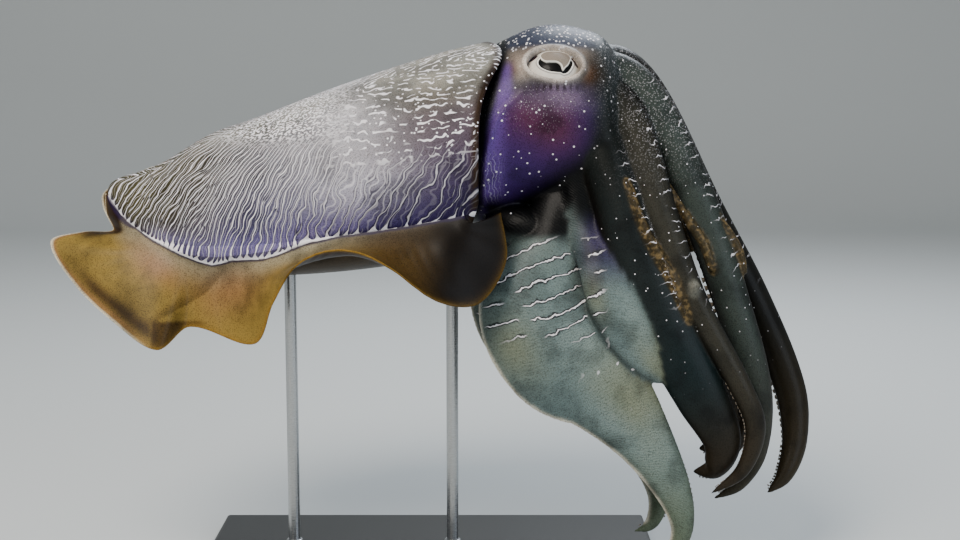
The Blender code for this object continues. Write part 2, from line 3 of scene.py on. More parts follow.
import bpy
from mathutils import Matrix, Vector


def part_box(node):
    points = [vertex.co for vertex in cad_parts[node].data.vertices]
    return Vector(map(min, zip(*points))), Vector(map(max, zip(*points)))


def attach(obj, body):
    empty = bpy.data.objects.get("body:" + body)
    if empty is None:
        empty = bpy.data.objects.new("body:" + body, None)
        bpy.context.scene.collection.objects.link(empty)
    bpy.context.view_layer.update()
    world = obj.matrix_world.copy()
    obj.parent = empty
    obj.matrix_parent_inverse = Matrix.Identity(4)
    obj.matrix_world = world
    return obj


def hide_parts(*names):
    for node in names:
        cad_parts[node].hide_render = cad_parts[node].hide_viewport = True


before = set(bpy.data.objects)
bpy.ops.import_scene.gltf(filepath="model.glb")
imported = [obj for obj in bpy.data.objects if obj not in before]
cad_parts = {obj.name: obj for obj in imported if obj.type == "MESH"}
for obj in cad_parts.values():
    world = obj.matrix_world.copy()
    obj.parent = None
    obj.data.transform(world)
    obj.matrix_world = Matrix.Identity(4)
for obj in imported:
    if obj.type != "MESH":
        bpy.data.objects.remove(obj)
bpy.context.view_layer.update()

import math

import bmesh
import bpy
import numpy as np
from mathutils.kdtree import KDTree

# Camera, floor and light. The camera looks level across the animal's side from a little above, as
# the photo does, with the arms' lowest tips just under the frame. The floor is a pale seamless
# sweep, and the light is three large soft panels and a dim even sky.
MM = 0.001
VIEW_DISTANCE = 1.5
VIEW_RISE = math.radians(8)
VIEW_CENTRE = (0.05, 0.0, 0.305)
VIEW_WIDTH = 0.96  # of the photo's frame at the animal, in metres
SENSOR = 36.0
FLOOR_HALF = 6.0
SWEEP_START = 3.0  # behind the animal
SWEEP_RADIUS = 0.9
SWEEP_HEIGHT = 3.2
SWEEP_STEPS = 12


def linear(hex_colour):
    """Linear red, green, blue and 1 from an sRGB colour such as 8a7b6c."""
    parts = [int(hex_colour[start : start + 2], 16) / 255 for start in (0, 2, 4)]
    return [part / 12.92 if part <= 0.04045 else ((part + 0.055) / 1.055) ** 2.4 for part in parts] + [1.0]


def feed(node, values):
    """Links sockets to a node's inputs and writes plain values into them."""
    for socket, value in values.items() if isinstance(values, dict) else enumerate(values):
        if isinstance(value, bpy.types.NodeSocket):
            node.id_data.links.new(value, node.inputs[socket])
        else:
            node.inputs[socket].default_value = value


def put(tree, kind, values=(), out=0, **settings):
    """Adds a shader node with its settings, values and links, and returns one of its outputs."""
    made = tree.nodes.new("ShaderNode" + kind)
    for name, value in settings.items():
        setattr(made, name, value)
    feed(made, values)
    return made.outputs[out]


def layered(tree, colour, layers):
    """Lays colours over a first one, each by its share and, where it's named, its way of blending."""
    for share, layer, *blend in layers:
        mixes = {0: share, 6: colour, 7: linear(layer)}
        colour = put(tree, "Mix", mixes, 2, data_type="RGBA", blend_type=blend[0] if blend else "MIX")
    return colour


def new_material(name):
    """A material, its tree and its Principled shader."""
    made = bpy.data.materials.new(name)
    made.use_nodes = True
    return made, made.node_tree, made.node_tree.nodes["Principled BSDF"]


def add_mesh(name, points, faces, material, closed=True):
    """A smooth object from world points in metres; the faces of a closed one look outward."""
    mesh = bpy.data.meshes.new(name)
    mesh.from_pydata(np.asarray(points).tolist(), [], faces)
    if closed:
        form = bmesh.new()
        form.from_mesh(mesh)
        bmesh.ops.recalc_face_normals(form, faces=form.faces)
        form.to_mesh(mesh)
        form.free()
    mesh.shade_smooth()
    mesh.materials.append(material)
    made = bpy.data.objects.new(name, mesh)
    bpy.context.scene.collection.objects.link(made)
    return made


camera_data = bpy.data.cameras.new("camera")
camera_data.sensor_width = SENSOR
camera_data.lens = SENSOR * VIEW_DISTANCE / VIEW_WIDTH
camera = bpy.data.objects.new("camera", camera_data)
bpy.context.scene.collection.objects.link(camera)
camera.location = (
    VIEW_CENTRE[0],
    VIEW_CENTRE[1] - VIEW_DISTANCE * math.cos(VIEW_RISE),
    VIEW_CENTRE[2] + VIEW_DISTANCE * math.sin(VIEW_RISE),
)
camera.rotation_euler = (math.pi / 2 - VIEW_RISE, 0, 0)
bpy.context.scene.camera = camera

paper, tree, shader = new_material("matt_seamless_paper")
# Paper gives an even, dull field with the faintest unevenness.
fleck = put(tree, "TexNoise", {"Scale": 3.0, "Detail": 4.0})
feed(shader, {"Base Color": layered(tree, linear("c3c6c6"), [(fleck, "cdd0cf")]), "Roughness": 0.9})

sweep = [(-FLOOR_HALF, 0.0), (0.0, 0.0), (SWEEP_START, 0.0)]
for step in range(1, SWEEP_STEPS + 1):
    turn = step / SWEEP_STEPS * math.pi / 2
    sweep.append((SWEEP_START + SWEEP_RADIUS * math.sin(turn), SWEEP_RADIUS * (1 - math.cos(turn))))
sweep.append((SWEEP_START + SWEEP_RADIUS, SWEEP_HEIGHT))
sweep_points = [(side * FLOOR_HALF, far, high) for far, high in sweep for side in (-1, 1)]
sweep_faces = [(2 * row, 2 * row + 1, 2 * row + 3, 2 * row + 2) for row in range(len(sweep) - 1)]
floor = add_mesh("floor", sweep_points, sweep_faces, paper, closed=False)

PANELS = {  # place, aim, size, watts, colour
    "key": ((-0.9, -1.6, 2.3), (0.0, 0.0, 0.35), 1.5, 80, "fff6ea"),
    "fill": ((1.9, -1.7, 1.0), (0.1, 0.0, 0.3), 1.8, 24, "e6f1ff"),
    "rim": ((0.6, 1.5, 1.9), (0.05, 0.0, 0.35), 1.2, 40, "eef6ff"),
}
for name, (place, aim, size, watts, colour) in PANELS.items():
    panel = bpy.data.lights.new(name, "AREA")
    panel.shape = "DISK"
    panel.size = size
    panel.energy = watts
    panel.color = linear(colour)[:3]
    stand = bpy.data.objects.new(name, panel)
    bpy.context.scene.collection.objects.link(stand)
    stand.location = place
    toward = [a - b for a, b in zip(aim, place)]
    flat = math.hypot(toward[0], toward[1])
    stand.rotation_euler = (math.atan2(flat, -toward[2]), 0, math.atan2(toward[1], toward[0]) - math.pi / 2)
sky = bpy.data.worlds.new("sky")
sky.use_nodes = True
sky.node_tree.nodes["Background"].inputs["Color"].default_value = linear("dfe8ee")
sky.node_tree.nodes["Background"].inputs["Strength"].default_value = 0.42
bpy.context.scene.world = sky

# Body sac and fins. The sac is a firm muscular bag of grey-brown skin, and the two fins are one
# long thin frill that grows along each side of it. It is made as one skin: rings of the sac that
# open at the fin line and run out over the fin's upper face, round its hem and back under it.
# Sizes here are millimetres: along from the tail to the arms, out to the animal's right, and up.
SWIM_HEIGHT = 305.0
SWIM_LEAN = math.radians(8)
MANTLE_HALF_WIDTH = 118.0
MANTLE_DEPTH_RATIO = 0.80
MANTLE_BLUNTNESS = 0.62
MANTLE_ROLL = math.radians(30)
MANTLE_TAIL = -322.0
MANTLE_FRONT = 42.0
MANTLE_SPINE = np.array([(-322, 80), (-291, 65), (-255, 59), (-196, 69), (-91, 91.5), (26, 115), (42, 119)])
MANTLE_RISES = ((0.27, 8.0, 0.11), (1.0, 12.0, 0.25))  # of the back: place, height and spread
COLLAR_LEAD = 26.0
COLLAR_LEAD_START = 0.55
COLLAR_LEAD_LEAST = 0.12
COLLAR_LEAD_POWER = 8
COLLAR_LIP = 7.0
COLLAR_DEPTH = 30.0  # how far the collar's pocket goes back
FIN_LINE = math.radians(10)
FIN_ARCH = 0.42
FIN_END = 0.008
FIN_THICKNESS = (4.6, 1.5)  # root and hem
FIN_FILLET = (7.0, 9.0)  # how much the root swells on each face, and how far out that fades
FIN_CROWDING = 1.15  # the fin's columns stand closer at its root
FURROW_FINE = (190, 4, 31, 0.10)  # pace along the fin, sway, pace of the sway, height
FURROW_BROAD = (71, 1.3, 0.22)  # pace, start, height
NEAR_HEM = (  # share of the sac's length at the root, and the hem's place along, out and up
    (0.010, -323, 4, 76), (0.045, -321, 9, 58), (0.085, -313, 16, 39), (0.102, -340, 27, 37),
    (0.122, -369, 34, 28), (0.145, -341, 54, -13), (0.180, -300, 72, -48), (0.225, -255, 84, -75),
    (0.260, -229, 58, -54), (0.360, -162, 92, -69), (0.420, -141, 116, -30), (0.500, -113, 140, 7),
    (0.620, -72, 150, 18), (0.720, -33, 148, 3), (0.820, 10, 132, -28), (0.920, 48, 112, -31),
    (0.965, 74, 88, 8), (0.990, 69, 82, 55),
)
FAR_HEM = (
    (0.010, -319, -6, 44), (0.030, -330, -14, 64), (0.060, -332, -26, 79), (0.110, -311, -48, 96),
    (0.180, -281, -74, 111), (0.300, -225, -118, 113), (0.450, -148, -150, 88), (0.600, -94, -160, 77),
    (0.750, -33, -165, 72), (0.900, 28, -160, 77), (0.970, 63, -135, 104), (0.990, 61, -110, 129),
)
# How far the flank's markings sag past the fin line onto the fins, and how steeply the near fin's
# root follows the flank down there.
BORDER_SAG = (
    (-290, 0.0), (-252, 1.0), (-230, 3.0), (-217, 7.5), (-207, 10.5), (-197, 8.5), (-186, 5.5), (-170, 6.0),
    (-155, 7.4), (-140, 5.5), (-126, 2.6), (-110, 0.6), (-80, 0.0),
)
ROOT_DROOP = ((-290, 0.0), (-260, 0.20), (-225, 0.65), (-205, 0.75), (-150, 0.58), (-120, 0.35), (-80, 0.0))
FLANK_STEP = 0.02  # a small turn down the flank
RINGS = 430
BACK_COLUMNS = 230
BELLY_COLUMNS = 110
FIN_COLUMNS = 56
HEM_ROUND = 4


def placed(points):
    """World points in metres of the animal's (along, out, up) points in millimetres."""
    points = np.asarray(points, float)
    lean_sin, lean_cos = math.sin(SWIM_LEAN), math.cos(SWIM_LEAN)
    along, out, up = points[..., 0], points[..., 1], points[..., 2]
    depth = up * lean_sin - out * lean_cos
    height = SWIM_HEIGHT + up * lean_cos + out * lean_sin
    return np.stack([along, depth, height], axis=-1) * MM


def on_animal(mesh):
    """The (along, out, up) places of a mesh's points in millimetres: placed() turned round."""
    world = np.empty(len(mesh.vertices) * 3)
    mesh.vertices.foreach_get("co", world)
    world = world.reshape(-1, 3) / MM
    lean_sin, lean_cos = math.sin(SWIM_LEAN), math.cos(SWIM_LEAN)
    rise = world[:, 2] - SWIM_HEIGHT
    out = -world[:, 1] * lean_cos + rise * lean_sin
    up = world[:, 1] * lean_sin + rise * lean_cos
    return np.stack([world[:, 0], out, up], axis=-1)


def unit(vectors):
    """The same directions with length 1."""
    vectors = np.asarray(vectors, float)
    return vectors / np.maximum(np.linalg.norm(vectors, axis=-1, keepdims=True), 1e-12)


def smooth(knots, values, at):
    """A smooth curve through values given at knots, read at the places in at."""
    knots = np.asarray(knots, float)
    values = np.asarray(values, float)
    at = np.clip(np.asarray(at, float), knots[0], knots[-1])
    slopes = np.empty_like(values)
    slopes[0] = (values[1] - values[0]) / (knots[1] - knots[0])
    slopes[-1] = (values[-1] - values[-2]) / (knots[-1] - knots[-2])
    slopes[1:-1] = (values[2:] - values[:-2]) / (knots[2:] - knots[:-2])[:, None]
    cell = np.clip(np.searchsorted(knots, at, side="right") - 1, 0, len(knots) - 2)
    width = (knots[cell + 1] - knots[cell])[:, None]
    part = (at - knots[cell])[:, None] / width
    return (
        (2 * part**3 - 3 * part**2 + 1) * values[cell]
        + (part**3 - 2 * part**2 + part) * width * slopes[cell]
        + (3 * part**2 - 2 * part**3) * values[cell + 1]
        + (part**3 - part**2) * width * slopes[cell + 1]
    )


def read_at(rows, places):
    """A table's second column, read between its rows at places in its first."""
    return np.interp(places, *np.transpose(rows))


def chord_knots(points):
    """Share of the whole length at which a route passes each of its points."""
    steps = np.linalg.norm(np.diff(np.asarray(points, float), axis=0), axis=1)
    return np.concatenate([[0.0], np.cumsum(steps)]) / steps.sum()


def route_at(rows, places):
    """A smooth route through rows, read at shares of its length; columns after the third go along."""
    rows = np.asarray(rows, float)
    return smooth(chord_knots(rows[:, :3]), rows, places)


def turns_round(count):
    """Angles of count equal steps round a circle."""
    return np.arange(count) * math.tau / count


def ease(value, low, high):
    """0 below low, 1 above high, and a soft step between; low may be the larger."""
    part = np.clip((np.asarray(value, float) - low) / (high - low), 0, 1)
    return part * part * (3 - 2 * part)


def bump_at(value, centre, spread):
    """1 at the centre, falling off softly within about the spread."""
    return np.exp(-(((np.asarray(value, float) - centre) / spread) ** 2))


def rolled(roll):
    """Directions to the animal's right and to its back for a body rolled to its right."""
    right = np.array([0.0, math.cos(roll), -math.sin(roll)])
    back = np.array([0.0, math.sin(roll), math.cos(roll)])
    return right, back


MANTLE_RIGHT, MANTLE_BACK = rolled(MANTLE_ROLL)


def mantle_points(share, angle, inset=0.0):
    """Points of the sac's surface at a share of its length and an angle from its right side."""
    share, angle = np.broadcast_arrays(np.asarray(share, float), np.asarray(angle, float))
    along = MANTLE_TAIL + (MANTLE_FRONT - MANTLE_TAIL) * share
    up = smooth(MANTLE_SPINE[:, 0], MANTLE_SPINE[:, 1:], along.ravel())[:, 0].reshape(along.shape)
    width = MANTLE_HALF_WIDTH * np.sin(math.pi / 2 * share**MANTLE_BLUNTNESS) - inset
    across = np.cos(angle) * width
    over = np.sin(angle) * width * MANTLE_DEPTH_RATIO
    for place, rise, spread in MANTLE_RISES:
        over = over + np.clip(np.sin(angle), 0, 1) * rise * bump_at(share, place, spread)
    forward = np.clip((share - COLLAR_LEAD_START) / (1 - COLLAR_LEAD_START), 0, 1) ** 2
    height = np.sin(angle)
    gathered = np.where(height > 0, np.abs(height) ** COLLAR_LEAD_POWER, height)
    lead = COLLAR_LEAD * forward * (COLLAR_LEAD_LEAST + (1 - COLLAR_LEAD_LEAST) * gathered)
    centre = np.stack([along + lead, np.zeros_like(along), up], axis=-1)
    return centre + across[..., None] * MANTLE_RIGHT + over[..., None] * MANTLE_BACK


def hem_at(hem, shares):
    """The hem's point for each share of the sac's length."""
    hem = np.asarray(hem, float)
    fine = np.linspace(0, 1, 2000)
    rows = smooth(chord_knots(hem[:, 1:]), hem, fine)
    run = np.maximum.accumulate(rows[:, 0])
    return smooth(chord_knots(hem[:, 1:]), hem, np.interp(shares, run, fine))[:, 1:]


# Rings stand closer where the sac or a hem moves fast, as at the tail.
trial = np.linspace(0.0015, 1, 6000)
trial_side = mantle_points(trial, 0.0)
paces = np.linalg.norm(np.diff(trial_side, axis=0), axis=1)
for hem in (NEAR_HEM, FAR_HEM):
    paces = paces + 0.5 * np.linalg.norm(np.diff(hem_at(hem, trial), axis=0), axis=1)
passed = np.concatenate([[0.0], np.cumsum(paces)])
shares = np.interp(np.linspace(0, passed[-1], RINGS), passed, trial)
first_fin = int(np.searchsorted(shares, FIN_END))
last_fin = int(np.searchsorted(shares, 1 - FIN_END)) - 1

# The half angle that the fin's root takes on the sac, as wide as the root's swelling.
widths = MANTLE_HALF_WIDTH * np.sin(math.pi / 2 * shares**MANTLE_BLUNTNESS)
fillets = FIN_FILLET[0] * np.clip(widths / 70, 0.1, 1)
root_angle = (FIN_THICKNESS[0] / 2 + fillets) / np.maximum(widths, 20)


def fin_sheet(hem, side):
    """Upper and lower faces of a fin and its middle."""
    angle = -FIN_LINE if side == "right" else math.pi + FIN_LINE
    rows = slice(first_fin, last_fin + 1)
    root = mantle_points(shares[rows], angle)
    edge = hem_at(hem, shares[rows])
    outward = np.tile(MANTLE_RIGHT if side == "right" else -MANTLE_RIGHT, (len(root), 1))
    if side == "right":
        down = unit(mantle_points(shares[rows], angle - FLANK_STEP) - root)
        droop = read_at(ROOT_DROOP, root[:, 0])[:, None]
        outward = unit(outward * (1 - droop) + down * droop)
    reach = np.linalg.norm(edge - root, axis=1, keepdims=True)
    bend = root + outward * FIN_ARCH * reach
    part = (np.linspace(0, 1, FIN_COLUMNS + 1) ** FIN_CROWDING)[None, :, None]
    middle = (1 - part) ** 2 * root[:, None] + 2 * part * (1 - part) * bend[:, None]
    middle = middle + part**2 * edge[:, None]
    normal = unit(np.cross(np.gradient(middle, axis=0), np.gradient(middle, axis=1)))
    if side == "left":
        normal = -normal
    distance = reach[:, None] * part
    half = (FIN_THICKNESS[0] + (FIN_THICKNESS[1] - FIN_THICKNESS[0]) * part) / 2
    half = half + fillets[rows, None, None] * np.exp(-distance / FIN_FILLET[1]) * (1 - part)
    # Soft furrows run from the root to the hem, as the fin's muscles bunch.
    run = np.linspace(0, 1, len(root))[:, None, None]
    pace, sway, sway_pace, height = FURROW_FINE
    furrow = np.sin(run * pace + sway * np.sin(run * sway_pace)) * height
    pace, start, height = FURROW_BROAD
    furrow = furrow + np.sin(run * pace + start) * height
    middle = middle + normal * furrow * np.clip(distance / 30, 0, 1)
    return middle + normal * half, middle - normal * half, middle


def quads(grid):
    """Faces over a grid of point numbers."""
    return np.stack([grid[:-1, :-1], grid[:-1, 1:], grid[1:, 1:], grid[1:, :-1]], axis=-1).reshape(-1, 4)


def run_over(points):
    """Length along each ring from its first point."""
    steps = np.linalg.norm(np.diff(points, axis=1), axis=2)
    return np.concatenate([np.zeros((len(points), 1)), np.cumsum(steps, axis=1)], axis=1)


BACK, BELLY, FIN_TOP, FIN_UNDER, POCKET = 0, 1, 2, 3, 4
FAR_OFF = 400.0
body_points, body_faces, body_marks = [], [], []


def keep_points(points, border, hem_gap, region):
    """Stores points with how far they are over the fin line and from the hem, and their region."""
    shape = points.shape[:-1]
    first = sum(len(part) for part in body_points)
    marks = [np.broadcast_to(mark, shape).ravel() for mark in (border, hem_gap, region)]
    body_points.append(points.reshape(-1, 3))
    body_marks.append(np.stack(marks, axis=1))
    return first + np.arange(len(marks[0])).reshape(shape)


column = np.linspace(0, 1, BACK_COLUMNS)[None, :]
low_right = (-FIN_LINE + root_angle)[:, None]
low_left = (math.pi + FIN_LINE - root_angle)[:, None]
back_angles = low_right + (low_left - low_right) * column
back = mantle_points(shares[:, None], back_angles)
across = run_over(back)
back_border = np.minimum(across, across[:, -1:] - across)
back_numbers = keep_points(back, back_border, FAR_OFF, BACK)

column = np.linspace(0, 1, BELLY_COLUMNS)[None, :]
under_left = (math.pi + FIN_LINE + root_angle)[:, None]
under_right = (2 * math.pi - FIN_LINE - root_angle)[:, None]
belly_angles = under_left + (under_right - under_left) * column
belly = mantle_points(shares[:, None], belly_angles)
belly_numbers = keep_points(belly, -FAR_OFF, FAR_OFF, BELLY)
body_faces += [quads(back_numbers), quads(belly_numbers)]

for side, hem, upper_root, lower_root in (
    ("right", NEAR_HEM, back_numbers[:, 0], belly_numbers[:, -1]),
    ("left", FAR_HEM, back_numbers[:, -1], belly_numbers[:, 0]),
):
    top, bottom, middle = fin_sheet(hem, side)
    distance = run_over(middle)
    half = (top[:, -1] - bottom[:, -1]) / 2
    outward = unit(middle[:, -1] - middle[:, -2]) * np.linalg.norm(half, axis=1, keepdims=True)
    turns = math.pi * np.arange(1, HEM_ROUND)[None, :, None] / HEM_ROUND
    hem_run = middle[:, -1:] + half[:, None] * np.cos(turns) + outward[:, None] * np.sin(turns)
    loop = np.concatenate([top[:, 1:], hem_run, bottom[:, :0:-1]], axis=1)
    hem_distance = np.repeat(distance[:, -1:], HEM_ROUND - 1, axis=1)
    loop_distance = np.concatenate([distance[:, 1:], hem_distance, distance[:, :0:-1]], axis=1)
    region = np.where(np.arange(loop.shape[1]) < FIN_COLUMNS + 1, FIN_TOP, FIN_UNDER)
    numbers = keep_points(loop, -loop_distance, distance[:, -1:] - loop_distance, region)
    rows = slice(first_fin, last_fin + 1)
    whole = np.concatenate([upper_root[rows, None], numbers, lower_root[rows, None]], axis=1)
    body_faces.append(quads(whole))
    for ring in (whole[0], whole[-1]):
        half_count = len(ring) // 2
        pairs = np.stack([ring[:half_count], ring[::-1][:half_count]], axis=1)
        body_faces.append(quads(pairs))
        body_faces.append(ring[None, half_count - 1 : half_count + 2])
    for rows in (slice(0, first_fin + 1), slice(last_fin, RINGS)):
        body_faces.append(quads(np.stack([lower_root[rows], upper_root[rows]], axis=1)))

# The tail's closing fan, and the collar's rolled lip with the pocket behind it.
previous = np.concatenate([back_numbers[0], belly_numbers[0]])
centre = keep_points(mantle_points(0.0, 0.0)[None], 60.0, FAR_OFF, BACK)
body_faces.append(np.stack([previous, np.roll(previous, -1), np.full(len(previous), centre[0])], axis=1))
previous = np.concatenate([back_numbers[-1], belly_numbers[-1]])
ring_angles = np.concatenate([back_angles[-1], belly_angles[-1]])
lip_border = np.concatenate([back_border[-1], np.full(BELLY_COLUMNS, -FAR_OFF)])
steps = []
for turn in np.linspace(0.12, 1.0, 8) * math.pi:
    steps.append((COLLAR_LIP / 2 * (1 - math.cos(turn)), COLLAR_LIP / 2 * math.sin(turn)))
steps += [(COLLAR_LIP + 6 * share, -COLLAR_DEPTH * share) for share in np.linspace(0.15, 1.0, 6)]
lip_numbers = []
for inset, ahead in steps:
    points = mantle_points(1.0, ring_angles, inset) + np.array([ahead, 0, 0])
    numbers = keep_points(points, lip_border, FAR_OFF, POCKET if inset > COLLAR_LIP * 0.6 else BACK)
    lip_numbers.append(numbers)
    body_faces.append(quads(np.stack([np.append(previous, previous[0]), np.append(numbers, numbers[0])])))
    previous = numbers
centre = keep_points(points.mean(0)[None], -FAR_OFF, FAR_OFF, POCKET)
body_faces.append(np.stack([previous, np.roll(previous, -1), np.full(len(previous), centre[0])], axis=1))

body_points = np.concatenate(body_points)
border, hem_gap, region = np.concatenate(body_marks).T
along, out, up = body_points.T
on_back, on_belly, in_pocket = region == BACK, region == BELLY, region == POCKET
on_fin = (region == FIN_TOP) | (region == FIN_UNDER)
collar_gap = np.full(len(border), FAR_OFF)
collar_gap[back_numbers] = ((1 - shares) * (MANTLE_FRONT - MANTLE_TAIL))[:, None]
collar_gap[np.concatenate(lip_numbers)] = 0.0

# Line coordinates of the sac's markings. A line leaves the border, which sags from the fin line
# onto the fin, at line_start and leans toward the head as it climbs; across counts lines and
# climb follows one.
LINE_SPACING = ((-330, 4.6), (-230, 5.3), (-150, 7.2), (-100, 10.0), (-50, 13.0), (45, 17.0))
LINE_LEAN = ((-330, 0.30), (-250, 0.40), (-190, 0.28), (-120, 0.14), (-40, 0.30), (45, 0.60))
LINE_BEND = ((-330, 0.0014), (-230, 0.0018), (-120, 0.0022), (45, 0.0036))

border = border + read_at(BORDER_SAG, along)
climb = np.clip(border, 0, None)
line_start = along.copy()
for _ in range(6):
    lean = climb * read_at(LINE_LEAN, line_start) + climb**2 * read_at(LINE_BEND, line_start)
    line_start = along - lean
grade = np.arange(-700, 80.0)
line_count = np.concatenate([[0.0], np.cumsum(1 / read_at(LINE_SPACING, grade[:-1]))])
across = np.interp(line_start, grade, line_count)
spacing = read_at(LINE_SPACING, line_start)

# Where each kind of marking is at home: long lines on the flank, fine worms over the back, and
# coarse dashes along the body behind the collar.
dash_home = ease(along, -120, -50) * ease(climb, 50, 82)
worm_home = (1 - dash_home) * ease(climb + 0.25 * (along + 150), 96, 128) * ease(along, -250, -170)
worm_home = worm_home * ease(along, -20, -80)
line_home = (1 - dash_home) * (1 - worm_home)
front = ease(along, -60, 10)
hazy = bump_at(along, -80, 42) * bump_at(climb, 112, 36)
foot_width = spacing * 0.8 * np.exp(-((climb / 2.4) ** 1.2)) * (1 - 0.6 * front)
line_width = 0.85 + 0.25 * ease(along, -250, -150) + 0.25 * front + 0.5 * hazy + foot_width
line_level = np.cos(np.pi * np.clip(line_width / spacing, 0.02, 0.97))
dash_tilt = 0.18 + 0.003 * (climb - 80)
dash_count = (climb + dash_tilt * (along - 20)) / 8.2

# The belly and pocket tones are painted shade: dark browns for the shaded underside and the collar's
# recess.
MANTLE_TONES = {
    "olive": "48442c", "grey": "4f5058", "rose": "51434a", "umber": "33241a", "haze": "d2d0d6",
    "violet": "6557a0", "lavender": "8d84b8", "indigo": "1c1236", "belly": "463c2e",
    "pocket": "0c0806", "pale": "a9a99c",
}
# The under tone is painted shade: dark brown for the fins' shaded underside.
FIN_TONES = {
    "ochre": "877035", "sage": "8f8973", "blush": "94654c", "gold": "8a6a28", "umber": "33210f",
    "soot": "0b0705", "under": "2e1f12", "pale": "e2dac2",
}


def paint(tone, mask, hex_colour):
    """Mixes a colour into tone by mask."""
    mask = np.clip(np.asarray(mask, float), 0, 1)[..., None]
    return tone * (1 - mask) + np.array(linear(hex_colour)) * mask


# Tones are painted one over another, each by a mask from places in millimetres along the animal,
# up its flank and out over its fins.
tone = np.tile(np.array(linear(MANTLE_TONES["olive"])), (len(body_points), 1))
# How far up the back a place lies, for the painted light that falls on the top from above.
lit_top_of_back = ease(climb, 95, 150)
for mask, name in (
    (ease(along, -250, -130), "grey"),
    (ease(along, -90, 0) * 0.9, "rose"),
    # painted light: the top of the back painted paler where the light from above falls
    (lit_top_of_back * ease(along, -260, -190) * 0.5, "pale"),
    (bump_at(along, 2, 30) * bump_at(climb, 128, 16) * 0.8, "umber"),
    (bump_at(along, -35, 50) * bump_at(climb, 84, 20) * 0.35, "umber"),
    (hazy * 0.9, "haze"),
    (bump_at(along, -62, 52) * bump_at(climb, 46, 32) * 0.7, "haze"),
    # painted light on the top of the back toward the collar
    (lit_top_of_back * ease(along, -70, -10) * 0.35, "pale"),
    (np.exp(-climb / 30) * ease(along, -270, -170) * 0.85, "violet"),
    (np.exp(-((climb / 13) ** 2)) * ease(along, -290, -250) * ease(along, -40, -90) * 0.8, "lavender"),
    (bump_at(along, 30, 62) * np.exp(-((climb / 52) ** 2)) * 0.9, "indigo"),
    # painted shade: a dark line along the collar's lip, for the shadow in the gap there
    (np.exp(-((collar_gap / 4.0) ** 2)), "umber"),
    # painted shade: the belly is painted dark brown, as the underside lies in shadow
    (on_belly, "belly"),
    # painted shade: the collar's pocket is painted near black, as a recess in shadow
    (in_pocket, "pocket"),
):
    tone = paint(tone, mask, MANTLE_TONES[name])

# The near fin doubles over at its notch: beyond_fold is how far a place lies behind that fold.
FIN_FOLD = ((-51, -258), (-37, -237), (-21, -211), (-8, -200), (4, -188))
fin_out = np.clip(-border, 0, None)
beyond_fold = read_at(FIN_FOLD, up) - along
fin_tone = np.tile(np.array(linear(FIN_TONES["ochre"])), (len(body_points), 1))
rear_lobe = 1 - ease(along, -300, -255)
folded_over = ease(beyond_fold, 0, 1.5) * ease(beyond_fold, 24, 4)
for mask, name in (
    ((1 - ease(fin_out, 2, 36)) * 0.85, "sage"),
    (bump_at(along, -262, 26) * bump_at(fin_out, 22, 16) * 0.55, "blush"),
    (bump_at(along, -188, 34) * bump_at(fin_out, 30, 24) * 0.5, "blush"),
    (bump_at(hem_gap, 13, 8) * ease(along, -352, -318) * ease(along, -252, -266) * 0.9, "umber"),
    (bump_at(hem_gap, 3.5, 2.5) * rear_lobe * 0.6, "blush"),
    (folded_over * ease(up, 8, -10) * ease(up, -58, -48) * 0.5, "umber"),
    # painted shade: a dark umber triangle below the fold's crest, for the fin's shaded underside turned up
    # there
    (ease(along, -262, -259) * ease(along, -208, -222) * ease(up, -47, -51) * 0.85, "umber"),
    (ease(along, -120, -30) * 0.85, "umber"),
    (ease(along, -30, 25) * 0.97, "soot"),
    (ease(along, -298, -306) * ease(up, 33, 39), "umber"),
    # painted shade: the fins' undersides are painted dark brown
    (region == FIN_UNDER, "under"),
    (np.exp(-hem_gap / 2.6) * (1 - 0.6 * front), "gold"),
    (np.exp(-((hem_gap / 1.3) ** 2)) * rear_lobe, "pale"),
):
    fin_tone = paint(fin_tone, mask, FIN_TONES[name])
over_border = ease(border, -1.5, 0.5) * (region != FIN_UNDER)
tone = np.where(on_fin[:, None], fin_tone + (tone - fin_tone) * over_border[:, None], tone)

# The smooth numbers that the skin's shader reads.
marked = (on_back | (region == FIN_TOP)) * ease(border, -2.0, 0.0)
body_fields = {
    "border": np.where(on_back | (region == FIN_TOP), border, -FAR_OFF),
    "across": across,
    "climb": climb,
    "along": along,
    "front": front,
    "line_level": np.where(marked > 0, line_level, 2.0),
    "line_home": line_home * marked,
    "worm_home": worm_home * marked,
    "dash_home": dash_home * marked,
    "dash_count": dash_count,
}


def store(mesh, fields, tone=None):
    """Writes fields, and the painted tone where there is one, as point attributes."""
    for name, values in fields.items():
        made = mesh.attributes.new(name, "FLOAT", "POINT")
        made.data.foreach_set("value", np.asarray(values, np.float32))
    if tone is not None:
        made = mesh.attributes.new("tone", "FLOAT_COLOR", "POINT")
        made.data.foreach_set("color", np.asarray(tone, np.float32).ravel())


SOFT = {"interpolation_type": "SMOOTHSTEP"}  # of a step between two levels


